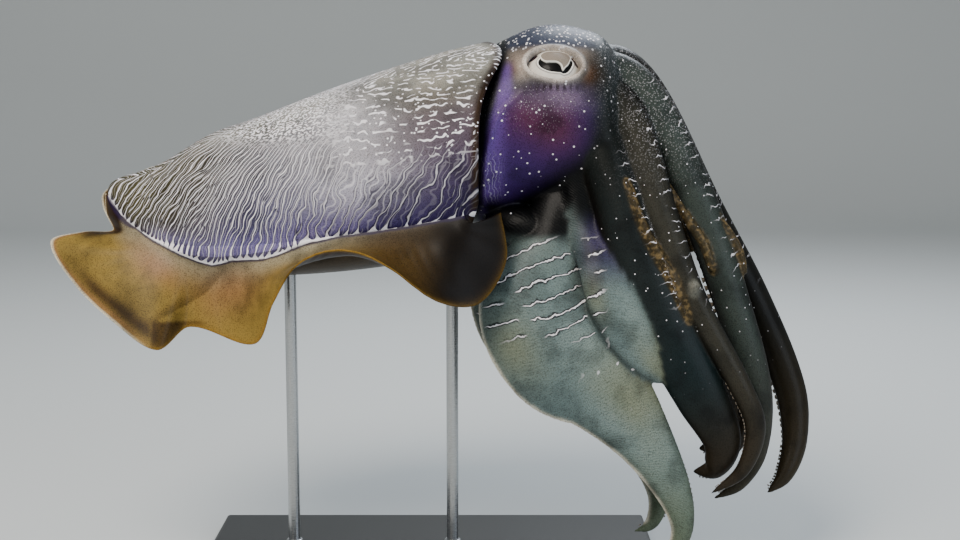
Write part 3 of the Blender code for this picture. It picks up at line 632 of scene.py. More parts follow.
def waves(tree, vector, spread, seed, count=7):
    """How near a point is to a line's middle, from -1 to 1, and how clear the line is there.

    The lines are level sets of the first coordinate. Waves of nearly the same pace are added, so
    that lines wander, fork and end as they do where the waves cancel.
    """
    draw = np.random.default_rng(seed)
    sums = {"SINE": 0.0, "COSINE": 0.0}
    for _ in range(count):
        pace = (1 + spread[0] * draw.normal(), spread[1] * draw.normal(), 0.0)
        turn = put(tree, "VectorMath", (vector, pace), out=1, operation="DOT_PRODUCT")
        phase = draw.uniform(0, math.tau)
        angle = put(tree, "Math", (turn, math.tau, phase), operation="MULTIPLY_ADD")
        for kind, total in sums.items():
            wave = put(tree, "Math", (angle,), operation=kind)
            sums[kind] = put(tree, "Math", (total, wave), operation="ADD")
    pair = put(tree, "CombineXYZ", (sums["SINE"], sums["COSINE"]))
    size = put(tree, "VectorMath", (pair,), out=1, operation="LENGTH")
    near = put(tree, "Math", (sums["COSINE"], size), operation="DIVIDE")
    clear = put(tree, "Math", (size, math.sqrt(count)), operation="DIVIDE")
    return near, clear


def over_each(tree, operation, values):
    """Joins any number of values by one kind of sum."""
    total = values[0]
    for value in values[1:]:
        total = put(tree, "Math", (total, value), operation=operation)
    return total


def strokes(tree, vector, spread, seed, level, sureness, homes):
    """White on the lines that waves() gives, where they are clear and at home; and how near and sure."""
    near, clear = waves(tree, vector, spread, seed)
    sure = put(tree, "MapRange", (clear, *sureness), **SOFT)
    white = put(tree, "MapRange", (near, *level), **SOFT)
    return over_each(tree, "MULTIPLY", (white, sure, *homes)), near, sure


PIGMENTS = (  # the noise of each layer, its colour and how it blends
    ("mottle", "d8d0c6", "SOFT_LIGHT"),
    ("mottle", "2a2222", "MULTIPLY"),
    ("grain", "b9b4b0", "OVERLAY"),
    ("fine_grain", "5a4f48", "MULTIPLY"),
)


def pigment(tree, mottle_scale, steps):
    """The painted tone under patches and speckles of pigment, and the place and grain they use."""
    place = put(tree, "TexCoord", out="Object")
    noises = {}
    scales = {"mottle": (mottle_scale, 5.0), "grain": (640.0, 2.0), "fine_grain": (950.0, 2.0)}
    for name, (scale, detail) in scales.items():
        noises[name] = put(tree, "TexNoise", {"Vector": place, "Scale": scale, "Detail": detail})
    layers = []
    for (name, layer, blend), (low, high, most) in zip(PIGMENTS, steps):
        layers.append((put(tree, "MapRange", (noises[name], low, high, 0.0, most)), layer, blend))
    return layered(tree, put(tree, "Attribute", attribute_name="tone"), layers), place, noises["grain"]


def read_marks(tree, names):
    """Outputs that read the stored numbers."""
    return {name: put(tree, "Attribute", out="Fac", attribute_name=name) for name in names}


# What a film of water and the flesh under it give both skins.
WET_SKIN = {
    "Specular IOR Level": 0.15,
    "IOR": 1.40,
    "Subsurface Weight": 0.06,
    "Subsurface Radius": (1.0, 0.5, 0.35),
    "Subsurface Scale": 0.003,
    "Coat Weight": 0.05,
    "Coat Roughness": 0.25,
}

# Wet skin of the sac and fins: satin under a film of water, with pigment in fine speckles. Fine
# near-white lines wander over a dark ground and run together in a border over the fins.
skin, tree, shader = new_material("wet_cuttlefish_skin_body")
marks = read_marks(tree, body_fields)
pigment_steps = ((0.42, 0.72, 0.35), (0.52, 0.34, 0.45), (0.50, 0.66, 0.40), (0.50, 0.36, 0.55))
colour, place, grain = pigment(tree, 26.0, pigment_steps)
drift = put(tree, "TexNoise", {"Vector": place, "Scale": 55.0, "Detail": 2.0})
wander = put(tree, "TexNoise", {"Vector": place, "Scale": 48.0, "Detail": 0.5})
jitter = put(tree, "TexNoise", {"Vector": place, "Scale": 150.0, "Detail": 0.0})

# Lines on the flank, with a dark outline
shift = put(tree, "Math", (wander, 1.9, marks["across"]), operation="MULTIPLY_ADD")
shift = put(tree, "Math", (jitter, 0.30, shift), operation="MULTIPLY_ADD")
rise = put(tree, "Math", (marks["climb"], 46.0), operation="DIVIDE")
line_vector = put(tree, "CombineXYZ", (shift, rise))
line_near, line_clear = waves(tree, line_vector, (0.05, 0.55), 3)
line_cut = put(tree, "Math", (line_near, marks["line_level"]), operation="SUBTRACT")
line_white = put(tree, "MapRange", (line_cut, -0.05, 0.12), **SOFT)
line_sure = put(tree, "MapRange", (line_clear, 0.10, 0.28), **SOFT)
line_white = over_each(tree, "MULTIPLY", (line_white, line_sure, marks["line_home"]))
outline = put(tree, "MapRange", (line_cut, -0.52, -0.08), **SOFT)
outline_low = put(tree, "MapRange", (marks["climb"], 8.0, 90.0, 0.85, 0.30))
outline = over_each(tree, "MULTIPLY", (outline, marks["line_home"], outline_low))

# Finer, dimmer lines between them
fine_vector = put(tree, "VectorMath", (line_vector, (2.2, 1.6, 1.0)), operation="MULTIPLY")
fine_near, _ = waves(tree, fine_vector, (0.08, 0.5), 8, 5)
fine_white = put(tree, "MapRange", (fine_near, 0.55, 0.98, 0.0, 0.42), **SOFT)
fine_home = put(tree, "MapRange", (marks["climb"], 8.0, 45.0, 0.35, 1.0))
fine_front = put(tree, "MapRange", (marks["front"], 0.0, 1.0, 1.0, 0.25))
fine_white = over_each(tree, "MULTIPLY", (fine_white, fine_home, fine_front, marks["line_home"]))

# Worms over the back: the bands of a fine noise, drawn out a little along the body
worm_place = put(tree, "VectorMath", (place, (0.75, 1.0, 1.0)), operation="MULTIPLY")
worm_noise = put(tree, "TexNoise", {"Vector": worm_place, "Scale": 500.0, "Detail": 0.4})
worm_white = put(tree, "MapRange", (worm_noise, 0.50, 0.56), **SOFT)
worm_white = put(tree, "Math", (worm_white, marks["worm_home"]), operation="MULTIPLY")

# Dashes behind the collar, broken up by a noise of their own
dash_row = put(tree, "Math", (wander, 1.8, marks["dash_count"]), operation="MULTIPLY_ADD")
dash_row = put(tree, "Math", (jitter, 0.8, dash_row), operation="MULTIPLY_ADD")
dash_along = put(tree, "Math", (marks["along"], 8.2), operation="DIVIDE")
dash_vector = put(tree, "CombineXYZ", (dash_row, dash_along))
gap_place = put(tree, "VectorMath", (dash_vector, (1.0, 0.85, 1.0)), operation="MULTIPLY")
gaps = put(tree, "TexNoise", {"Vector": gap_place, "Scale": 1.0, "Detail": 0.6}, noise_dimensions="2D")
gaps = put(tree, "MapRange", (gaps, 0.43, 0.49), **SOFT)
dash_dots = put(tree, "TexVoronoi", {"Vector": place, "Scale": 170.0})
dash_dots = put(tree, "MapRange", (dash_dots, 0.20, 0.13), **SOFT)
dash_white, _, _ = strokes(tree, dash_vector, (0.07, 0.16), 33, (0.55, 0.85), (0.28, 0.50), (gaps,))
dash_white = put(tree, "Math", (dash_white, dash_dots), operation="MAXIMUM")
dash_white = put(tree, "Math", (dash_white, marks["dash_home"]), operation="MULTIPLY")

# The thick border over the fin, in pieces toward the collar, with a dark line under it
edge = put(tree, "Math", (drift, 3.0, marks["border"]), operation="MULTIPLY_ADD")
band = put(tree, "MapRange", (edge, -0.2, 0.6), **SOFT)
band_end = put(tree, "MapRange", (edge, 2.5, 1.6), **SOFT)
foot_run = put(tree, "Math", (marks["across"], 0.45), operation="MULTIPLY")
breaks = put(tree, "TexNoise", {"W": foot_run, "Scale": 1.0, "Detail": 0.0}, noise_dimensions="1D")
breaks = put(tree, "Math", (marks["front"], -0.25, breaks), operation="MULTIPLY_ADD")
whole = put(tree, "MapRange", (breaks, 0.38, 0.42), **SOFT)
band = over_each(tree, "MULTIPLY", (band, band_end, whole))
under_band = put(tree, "MapRange", (edge, -3.0, -0.8), **SOFT)
band_top = put(tree, "MapRange", (edge, 10.0, 2.0), **SOFT)
rim_dark = over_each(tree, "MULTIPLY", (under_band, band_top, 0.8))

white = over_each(tree, "MAXIMUM", (line_white, fine_white, band, worm_white, dash_white))
colour = layered(tree, colour, [(outline, "19132b"), (rim_dark, "1c1036"), (white, "faf6fb")])
relief = put(tree, "Math", (grain, 0.8, white), operation="MULTIPLY_ADD")
bump = put(tree, "Bump", {"Height": relief, "Strength": 0.30, "Distance": 0.0006})
feed(shader, {"Base Color": colour, "Roughness": 0.46, "Normal": bump, **WET_SKIN})

face_lists = []
for faces in body_faces:
    face_lists += faces.tolist()
body = add_mesh("body_skin", placed(body_points), face_lists, skin)
store(body.data, body_fields, tone)
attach(body, "root")
fin_nodes = [f"fin_{side}_{length}" for side in ("right", "left") for length in ("rear", "middle", "front")]
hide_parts("mantle", *fin_nodes)

# Head, funnel and arms. One skin runs from the neck in the collar over the head, round the eyes and
# out along the eight arms: soft muscle under thin skin, with keels along the arms and a broad web on
# each lowest arm. It is made by fusing lofted forms and easing the folds where they meet.
HEAD_ROLL = math.radians(8)
HEAD_RIGHT, HEAD_BACK = rolled(HEAD_ROLL)
HEAD_ROWS = (  # along, and the middle's height, half width and half depth there
    (34, 124, 78, 76), (55, 132, 84, 86), (80, 144, 84, 88), (105, 151, 82, 91), (130, 153, 80, 91),
    (155, 150, 76, 89), (174, 146, 70, 84), (188, 143, 50, 62),
)
EYE = (118.5, 56.5, 182.5)  # the ball's centre
EYE_RADIUS = 29.0
EYE_AXIS = (0.08, 0.90, 0.42)
EYE_SOCKET = 9.0  # how far in front of the ball's centre the skin inside the lids lies
BROW_RISE = 8.0
BROW_SPREAD = 34.0
LID_LONG, LID_SHORT, LID_LIFT, LID_THICKNESS = 28.2, 18.9, 22.5, 3.4
LID_RISE = 3.8  # of the lids' middle over the eye's
SLIT_LONG, SLIT_SHORT = 26.2, 16.8
WART = np.array([252, 84, -18, 7.0])  # on the second right arm: its place and radius
FUNNEL = np.array([(66, 16, 47, 26), (93, 30, 40, 22), (130, 36, 31, 15)], float)  # place and radius
# Arms: middle places, with the half width across the arm and the half depth through it.
ARM_ROUTES = {
    "right_1": (
        (148, 18, 192, 17, 16), (184, 21, 194, 21, 18), (216, 27, 163, 21, 18), (262, 35, 66, 20, 17),
        (295, 36, -29, 18, 15), (322, 26, -118, 15, 13), (324, 12, -179, 11, 10),
        (308, 2, -214, 7, 6), (283, -4, -230, 3, 2.5),
    ),
    "left_1": (
        (152, -12, 206, 18, 17), (189, -14, 206, 21, 19), (223, -20, 170, 21, 18), (279, -31, 66, 18, 16),
        (331, -36, -31, 17, 15), (367, -34, -121, 16, 13), (370, -26, -173, 13, 10),
        (357, -16, -208, 9, 7), (338, -8, -225, 4, 3),
    ),
    "right_2": (
        (140, 38, 168, 16, 15), (171, 38, 172, 18, 17), (197, 48, 138, 19, 17), (223, 64, 48, 18, 15),
        (253, 76, -28, 13, 12), (298, 76, -112, 11, 10), (313, 68, -151, 10, 9),
        (302, 60, -192, 7, 6), (272, 54, -216, 3, 2.5),
    ),
    "right_3": (
        (134, 46, 132, 17, 16), (158, 50, 134, 21, 18), (177, 58, 86, 24, 18), (197, 66, 24, 27, 17),
        (221, 72, -43, 29, 15), (260, 68, -119, 25, 13), (283, 56, -164, 19, 11),
        (277, 44, -192, 12, 8), (257, 36, -197, 5, 3),
    ),
    "right_4": (
        (140, 24, 92, 30, 18), (121, 42, 26, 34, 18), (105, 61, -31, 56, 15), (127, 74, -80, 57, 12),
        (168, 77, -114, 44, 11), (207, 72, -162, 28, 9), (236, 64, -213, 17, 8),
        (245, 56, -248, 11, 6), (236, 46, -274, 7, 5), (216, 38, -281, 3, 2.5),
    ),
}
# The left arms follow the right ones: moved along, drawn in or out, and moved up.
LEFT_ARM_MOVES = {"left_2": (14, 0.95, 10), "left_3": (16, 0.95, 14), "left_4": (-9, 1.08, 12)}
# The web between the third and fourth arm, and the keels that stand along the arms' edges.
WEB_LOBE = (
    (143, 46, 92, 13, 10), (150, 50, 44, 16, 10), (163, 66, 10, 22, 9), (175, 80, -29, 24, 8),
    (190, 84, -60, 23, 7), (208, 79, -90, 15, 6), (226, 70, -108, 4, 3),
)
KEELS = {
    "right_3": (
        (190, 74, 84, 3), (201, 79, 51, 4), (213, 81, 24, 5), (231, 81, -6, 6), (246, 79, -41, 6),
        (246, 76, -52, 4),
    ),
    "right_2": ((214, 44, 112, 3), (230, 50, 83, 4), (254, 52, 43, 5), (266, 52, 25, 5), (275, 50, 0, 4)),
    "right_1": (
        (246, 38, 120, 3), (263, 40, 87, 4), (278, 41, 56, 4), (293, 41, 34, 5), (303, 40, 15, 5),
        (307, 38, -4, 4),
    ),
}
# The low fold of skin round the cheek, as places on the head's side: along and up.
CHEEK_FOLD = ((98, 174), (80, 158), (66, 142), (58, 118), (54, 90), (54, 62))
CHEEK_FOLD_RADIUS = 2.4
WEB_RIM_RADIUS = 1.5
RIM_RINGS = 160
HEAD_RINGS, HEAD_SIDES = 60, 96
ARM_STATIONS, ARM_SIDES = 120, 40
ARM_STEP = 1e-3  # share of an arm over which its direction is taken
ARM_ROUNDING = 0.93  # share of an arm where its end begins to round off
ARM_WAIST, WEB_WAIST = 0.12, 0.30  # how much thinner an arm, or a webbed one, is toward its edges
LID_RINGS, LID_SIDES = 65, 16
FUNNEL_RINGS, FUNNEL_SIDES = 30, 32
FUNNEL_BORE = ((0.0, 12.0), (-1.5, 9.0), (-7.0, 8.1), (-14.0, 7.2))  # place behind the mouth, and radius
ROUTE_STEPS = 60  # along the cheek's fold and the keels
FOLD_SIDES, KEEL_SIDES, WART_SIDES = 12, 14, 20
VOXEL = 1.5  # millimetres, fine enough for the lids and the arms' tips


def head_ring(along, angles):
    """Middles of the head's cross sections, and points round them."""
    rows = np.asarray(HEAD_ROWS, float)
    rows = smooth(rows[:, 0], rows[:, 1:], along)
    centre = np.stack([along, np.zeros(len(rows)), rows[:, 0]], axis=1)[:, None]
    across = (np.cos(angles)[None, :] * rows[:, 1:2])[..., None] * HEAD_RIGHT
    over = (np.sin(angles)[None, :] * rows[:, 2:3])[..., None] * HEAD_BACK
    return centre, centre + across + over


def mirrored(points):
    """The same places on the other side of the head."""
    flat = np.asarray(points, float).reshape(-1, 3)
    centre, _ = head_ring(flat[:, 0], np.zeros(1))
    side = ((flat - centre[:, 0]) @ HEAD_RIGHT)[:, None]
    return (flat - 2 * side * HEAD_RIGHT).reshape(np.shape(points))


def on_head(along, up):
    """Places on the right side of the head that are seen at these (along, up) places."""
    _, around = head_ring(along, np.linspace(-1.3, 1.3, 400))
    nearest = np.argmin(np.abs(around[:, :, 2] - up[:, None]), axis=1)
    return around[np.arange(len(along)), nearest]


def eye_frame(side):
    """Centre of an eye, the way it faces, its long direction to the arms and its short one up."""
    centre, facing = np.array(EYE, float), unit(EYE_AXIS)
    if side == "left":
        centre = mirrored(EYE)
        facing = facing - 2 * HEAD_RIGHT * np.dot(facing, HEAD_RIGHT)
    long = unit(np.cross(np.cross(facing, (1.0, 0, 0)), facing))
    short = np.cross(facing, long)
    return centre, facing, long, short * np.sign(short[2])


def loft(rings):
    """Points and faces of a closed skin over rings, with a point in the middle of each end."""
    rows, sides = rings.shape[:2]
    points = np.concatenate([rings.reshape(-1, 3), [rings[0].mean(0), rings[-1].mean(0)]])
    grid = np.arange(rows * sides).reshape(rows, sides)
    faces = quads(np.concatenate([grid, grid[:, :1]], axis=1)).tolist()
    for ring, tip in ((grid[0], rows * sides), (grid[-1], rows * sides + 1)):
        faces += [[int(a), int(b), tip] for a, b in zip(ring, np.roll(ring, -1))]
    return points, faces


def joined(parts):
    """One mesh's points and faces from those of several."""
    points, faces, first = [], [], 0
    for part_points, part_faces in parts:
        points.append(part_points)
        faces += [[number + first for number in face] for face in part_faces]
        first += len(part_points)
    return np.concatenate(points), faces


def tube(middle, radii, sides):
    """Rings of a round tube along a route."""
    ahead = unit(np.gradient(middle, axis=0))
    side = unit(np.cross(ahead, (0.05, 1.0, 0.02)))
    angles = turns_round(sides)
    turns = np.cos(angles)[None, :, None] * side[:, None]
    turns = turns + np.sin(angles)[None, :, None] * np.cross(ahead, side)[:, None]
    return middle[:, None] + radii[:, None, None] * turns


def arm_frame(rows, places):
    """Middle points of an arm, the ways along, across and through it, and its half sizes."""
    values = route_at(rows, places)
    ahead = unit(route_at(rows, places + ARM_STEP)[:, :3] - route_at(rows, places - ARM_STEP)[:, :3])
    wide = unit(np.cross(ahead, (0.0, 1.0, 0.0)))
    return values[:, :3], ahead, wide, np.cross(ahead, wide), values[:, 3], values[:, 4]


def arm_rings(rows, waist=0.0):
    """Rings of an arm, drawn in a little between its flat edges, which carry thin membranes."""
    places = np.clip(np.linspace(0, 1, ARM_STATIONS), 2 * ARM_STEP, 1 - 2 * ARM_STEP)
    middle, _, wide, deep, half_width, half_depth = arm_frame(rows, places)
    angles = turns_round(ARM_SIDES)
    across = np.cos(angles)[None, :, None] * half_width[:, None, None] * wide[:, None]
    depth = np.sin(angles) * (1 - waist * np.cos(angles) ** 2)
    through = depth[None, :, None] * half_depth[:, None, None] * deep[:, None]
    end = np.sqrt(1 - np.clip((places - ARM_ROUNDING) / (1.0005 - ARM_ROUNDING), 0, 1) ** 2)
    return middle[:, None] + (across + through) * end[:, None, None]


routes = {name: np.asarray(rows, float) for name, rows in ARM_ROUTES.items()}
for name, (along, out, up) in LEFT_ARM_MOVES.items():
    rows = routes["right" + name[4:]].copy()
    rows[:, 0] += along
    rows[:, 1] *= -out
    rows[:, 2] += up
    routes[name] = rows
web_lobes = {"right_4": np.asarray(WEB_LOBE, float)}
shift, spread, rise = LEFT_ARM_MOVES["left_4"]
web_lobes["left_4"] = web_lobes["right_4"] * (1, -spread, 1, 1, 1) + (shift, 0, rise, 0, 0)

# The head with its brows
forms = []
stations = np.linspace(HEAD_ROWS[0][0], HEAD_ROWS[-1][0], HEAD_RINGS)
centres, rings = head_ring(stations, turns_round(HEAD_SIDES))
for brow in (np.array(EYE, float), mirrored(EYE)):
    near = np.exp(-((np.linalg.norm(rings - brow, axis=2) / BROW_SPREAD) ** 2))
    rings = rings + unit(rings - centres) * near[..., None] * BROW_RISE
head_rings = rings
forms.append(loft(rings))

# The lids, the funnel with its bore, and the fold round the cheek
for side in ("right", "left"):
    centre, facing, long, short = eye_frame(side)
    turns = np.linspace(0, math.tau, LID_RINGS)[:, None]
    middle = centre + facing * LID_LIFT + LID_LONG * np.cos(turns) * long
    middle = middle + (LID_RISE + LID_SHORT * np.sin(turns)) * short
    forms.append(loft(tube(middle, np.full(LID_RINGS, LID_THICKNESS), LID_SIDES)))
middle, radii = np.split(route_at(FUNNEL, np.linspace(0, 1, FUNNEL_RINGS)), [3], axis=1)
ahead = unit(middle[-1] - middle[-2])
rings = tube(middle, radii[:, 0], FUNNEL_SIDES)
spokes = (rings[-1] - middle[-1]) / radii[-1]
inner = [middle[-1] + ahead * depth + spokes * radius for depth, radius in FUNNEL_BORE]
forms.append(loft(np.concatenate([rings, inner])))
fold = route_at(CHEEK_FOLD, np.linspace(0, 1, ROUTE_STEPS))
fold = on_head(fold[:, 0], fold[:, 1])
for route in (fold, mirrored(fold)):
    forms.append(loft(tube(route, np.full(ROUTE_STEPS, CHEEK_FOLD_RADIUS), FOLD_SIDES)))

# The arms, the lobes and rippled rims of the webs, the keels and the wart
for name, rows in routes.items():
    forms.append(loft(arm_rings(rows, WEB_WAIST if name.endswith("4") else ARM_WAIST)))
for rows in web_lobes.values():
    forms.append(loft(arm_rings(rows)))
for name in ("right_4", "left_4"):
    middle, _, wide, _, half_width, _ = arm_frame(routes[name], np.linspace(0.28, 0.97, RIM_RINGS))
    ripple = 1.2 * np.sin(np.linspace(0, 60, RIM_RINGS)) + 0.8 * np.sin(np.linspace(0, 23, RIM_RINGS))
    rim = middle - wide * (half_width - 0.5)[:, None] + np.array([0, 1.0, 0]) * ripple[:, None]
    forms.append(loft(tube(rim, np.full(RIM_RINGS, WEB_RIM_RADIUS), FOLD_SIDES)))
keel_lines = []
for name, keel in KEELS.items():
    line = route_at(keel, np.linspace(0, 1, ROUTE_STEPS))
    keel_lines.append(line)
    if name != "right_1":
        keel_lines.append(np.concatenate([mirrored(line[:, :3]), line[:, 3:]], axis=1))
for line in keel_lines:
    forms.append(loft(tube(line[:, :3], line[:, 3], KEEL_SIDES)))
rise = np.linspace(-0.98, 0.98, 12)
wart_line = WART[:3] + np.array([0, 0.3, 1.0]) * rise[:, None] * WART[3]
forms.append(loft(tube(wart_line, WART[3] * np.sqrt(1 - rise**2), WART_SIDES)))

points, faces = joined(forms)
flesh, tree, shader = new_material("wet_cuttlefish_skin_head")
head = add_mesh("head_skin", placed(points), faces, flesh)


def apply_modifiers(thing):
    """Replaces an object's mesh by what its modifiers make of it."""
    bpy.context.view_layer.update()
    graph = bpy.context.evaluated_depsgraph_get()
    made = bpy.data.meshes.new_from_object(thing.evaluated_get(graph))
    thing.modifiers.clear()
    thing.data = made


fuse = head.modifiers.new("fuse", "REMESH")
fuse.mode = "VOXEL"
fuse.voxel_size = VOXEL * MM
apply_modifiers(head)
places = on_animal(head.data)
# The crown between the brows and the arms' roots, and the hollow over the webs, are eased far more.
crown = head.vertex_groups.new(name="crown")
along, out, up = places.T
near_crown = ease(along, 120, 150) * ease(up, 60, 110) * ease(along, 235, 195)
web_fold = ease(along, 112, 132) * ease(along, 182, 166) * ease(np.abs(out), 30, 42)
web_fold = web_fold * ease(up, -32, -4) * ease(up, 112, 84)
near_eye = np.zeros(len(places))
for side in ("right", "left"):
    centre, facing, _, _ = eye_frame(side)
    near_eye = np.maximum(near_eye, ease(np.linalg.norm(places - centre - facing * 20, axis=1), 46, 36))
weights = np.maximum(near_crown * (1 - near_eye), web_fold)
for level in range(1, 11):
    chosen = np.nonzero((weights > (level - 1) / 10) & (weights <= level / 10))[0]
    crown.add(chosen.tolist(), level / 10, "REPLACE")
for iterations, group in ((6, ""), (70, "crown")):
    soften = head.modifiers.new("soften", "SMOOTH")
    soften.factor = 0.5
    soften.iterations = iterations
    soften.vertex_group = group
apply_modifiers(head)
head.vertex_groups.clear()


def about_eye(points, side, half_long, half_short):
    """Where points lie about an eye: 1 on an oval round the slit's middle, and how far in front."""
    centre, facing, long, short = eye_frame(side)
    away = points - centre
    return np.hypot(away @ long / half_long, (away @ short - LID_RISE) / half_short), away @ facing


# Inside the lids the skin is pushed back behind the ball of the eye.
places = on_animal(head.data)
for side in ("right", "left"):
    share, depth = about_eye(places, side, SLIT_LONG, SLIT_SHORT)
    push = (np.minimum(depth, EYE_SOCKET) - depth) * ease(share, 1.02, 0.92) * ease(depth, 0, 8)
    places = places + eye_frame(side)[1] * push[:, None]
head.data.vertices.foreach_set("co", placed(places).ravel())
head.data.shade_smooth()

# Each point of the skin belongs to the head or to the arm whose flank is nearest. Its place there is
# run, millimetres along the arm; side, from -1 at the rear edge to 1 at the front edge; and face,
# above 0 on the outer face.
STATIONS = 300
FLANK_TURNS = 28
LOBE_LEAD = 45.0  # how far out along the fourth arm its web lobe begins
flesh_rows = dict(routes)
flesh_rows.update({f"{name}_lobe": rows for name, rows in web_lobes.items()})
arm_places = np.linspace(2 * ARM_STEP, 1 - 2 * ARM_STEP, STATIONS)
frames = {name: arm_frame(rows, arm_places) for name, rows in flesh_rows.items()}
runs = {}
for name, (middle, *_) in frames.items():
    steps = np.linalg.norm(np.diff(middle, axis=0), axis=1)
    runs[name] = np.concatenate([[0.0], np.cumsum(steps)]) + (LOBE_LEAD if name.endswith("lobe") else 0.0)

owner_tree = KDTree(STATIONS * len(frames) * FLANK_TURNS + HEAD_RINGS * HEAD_SIDES)
owner_marks = []
for number, (middle, _, wide, deep, half_width, half_depth) in enumerate(frames.values()):
    for turn in turns_round(FLANK_TURNS):
        flank = middle + wide * (half_width * math.cos(turn))[:, None]
        flank = flank + deep * (half_depth * math.sin(turn))[:, None]
        for station, point in enumerate(flank):
            owner_tree.insert(point, len(owner_marks))
            owner_marks.append((number, station))
for point in head_rings.reshape(-1, 3):
    owner_tree.insert(point, len(owner_marks))
    owner_marks.append((-1, 0))
owner_tree.balance()
owned = np.array(owner_marks)[[owner_tree.find(point)[1] for point in places]]

run, side, face, arm_share = (np.zeros(len(places)) for _ in range(4))
edge_gap = np.full(len(places), FAR_OFF)
order = np.zeros(len(places), int)
for number, (name, frame_parts) in enumerate(frames.items()):
    mine = np.nonzero(owned[:, 0] == number)[0]
    station = owned[mine, 1]
    middle, forward, wide, deep, half_width, half_depth = (part[station] for part in frame_parts)
    away = places[mine] - middle
    across = (away * wide).sum(axis=1)
    run[mine] = runs[name][station] + (away * forward).sum(axis=1)
    side[mine] = across / half_width
    face[mine] = (away * deep).sum(axis=1) / half_depth * (-1 if name.startswith("right") else 1)
    arm_share[mine] = run[mine] / runs[name.replace("_lobe", "")][-1]
    edge_gap[mine] = FAR_OFF if name.endswith("lobe") else half_width - np.abs(across)
    order[mine] = int(name.replace("_lobe", "")[-1])
on_arm = order > 0

# Places on the right side of the head that match both sides, for the markings that both carry.
is_left = places[:, 1] < 0
folded = np.where(is_left[:, None], mirrored(places), places)
ahead, high = folded[:, 0], folded[:, 2]
outer = ease(folded[:, 1], 5, 30)


def spot(ahead_at, high_at, ahead_spread, high_spread):
    """A soft round patch on the side of the head."""
    return bump_at(ahead, ahead_at, ahead_spread) * bump_at(high, high_at, high_spread) * outer


lid_near = np.zeros(len(places))
for side_name in ("right", "left"):
    share, depth = about_eye(places, side_name, LID_LONG, LID_SHORT)
    lid_near = np.maximum(lid_near, bump_at(share, 0.96, 0.17) * (depth > 0))

# night is painted shade, near black for the hollows, the crease and the collar's shadow.
HEAD_TONES = {
    "crown": "2f3447", "cream": "b8a698", "lid": "dcd1c6", "lilac": "7b6980", "rust": "5f3c22",
    "bark": "33261a", "maroon": "4f2743", "violet": "38225c", "blue": "62468f", "night": "030305",
    "olive": "0e110e", "slate": "2b3234",
}
# Arms one to three are painted near black, partly their own dark skin and partly painted shade; on each arm
# the flanks and inner face are painted darker than the outer face, as painted shade.
ARM_TONES = {  # outer face, flanks, tip
    1: ("363e3a", "15140f", "30291c"),
    2: ("302f28", "11100d", "2b241a"),
    3: ("1b2121", "120f0d", "2c2419"),
    4: ("768784", "4d5b59", "59634b"),
}
# On the webs, night is painted shade in the hollow and the crease.
WEB_TONES = {"slate": "596a6b", "olive": "74734f", "purple": "261b48", "rim": "efe9d6", "night": "030305"}
KEEL_TONE, TEAL_TONE, WART_TONE = "3d331f", "122022", "a9a99c"
TONE_SOFTENINGS = 5
# The crease that parts the web's lower lobe from the rest, as places on the web: along and up.
CREASE = ((148, -28), (161, -52), (170, -69), (184, -86), (201, -99), (212, -105))
COLLAR_SHADOW = (  # at each height, how far along the head the collar's shadow reaches
    (50, 49), (60, 51), (104, 54), (123, 57), (142, 60), (156, 64), (175, 69), (199, 75), (215, 77),
)


def nearest_on(line, points):
    """For each point, the number of the nearest place on a line, and its distance."""
    line_tree = KDTree(len(line))
    for number, place in enumerate(line):
        line_tree.insert(place, number)
    line_tree.balance()
    found = [line_tree.find(point)[1:] for point in points]
    return np.array([number for number, _ in found], int), np.array([gap for _, gap in found])


_, fold_gap = nearest_on(np.concatenate([fold, mirrored(fold)]), places)
shadow = ease(ahead - read_at(COLLAR_SHADOW, high), 2.5, -2.5)
head_tone = np.tile(np.array(linear(HEAD_TONES["violet"])), (len(places), 1))
for mask, name in (
    (spot(100, 148, 30, 26) + spot(126, 132, 24, 26) * 0.7, "maroon"),
    # partly painted light: the blue-violet band by the collar, its own colour painted brighter where the
    # band stands lit
    (ease(ahead, 80, 60) * ease(high, 60, 80) * ease(high, 190, 164), "blue"),
    # painted shade: the cheek's lower part runs to near black toward the hollow under it
    (ease(high - 0.6 * (ahead - 100), 102, 66) * ease(ahead, 60, 95), "night"),
    (ease(high, 158, 186), "slate"),
    (spot(124, 163, 36, 12) * 0.8, "lilac"),
    (spot(120, 205, 36, 12) * 0.95, "cream"),
    (spot(88, 194, 8, 13), "cream"),
    (ease(high, 209, 218), "crown"),
    (spot(80, 189, 6, 11) * 0.55, "bark"),
    (spot(81, 191, 5, 8) * 0.55, "rust"),
    (ease(ahead, 150, 172), "slate"),
    (spot(156, 186, 13, 16), "bark"),
    (spot(152, 187, 6, 9) * 0.7, "rust"),
    (lid_near, "lid"),
    (spot(148, 188, 4, 9) * 0.6, "bark"),
    (spot(117, 210, 17, 3.0) * 0.55, "bark"),
    # partly painted light: the same lit blue-violet band, higher up by the collar
    (ease(ahead, 84, 76) * ease(high, 150, 166) * ease(high, 204, 190) * 0.8, "blue"),
    (ease(fold_gap, 2.3, 1.3) * ease(high, 100, 140) * 0.7, "lilac"),
    (shadow, "night"),
):
    head_tone = paint(head_tone, mask, HEAD_TONES[name])

arm_tone = head_tone.copy()
web = on_arm & (order == 4)
keel_gap = np.full(len(places), FAR_OFF)
for line in keel_lines:
    found, gap = nearest_on(line[:, :3], places)
    keel_gap = np.minimum(keel_gap, gap - line[found, 3])
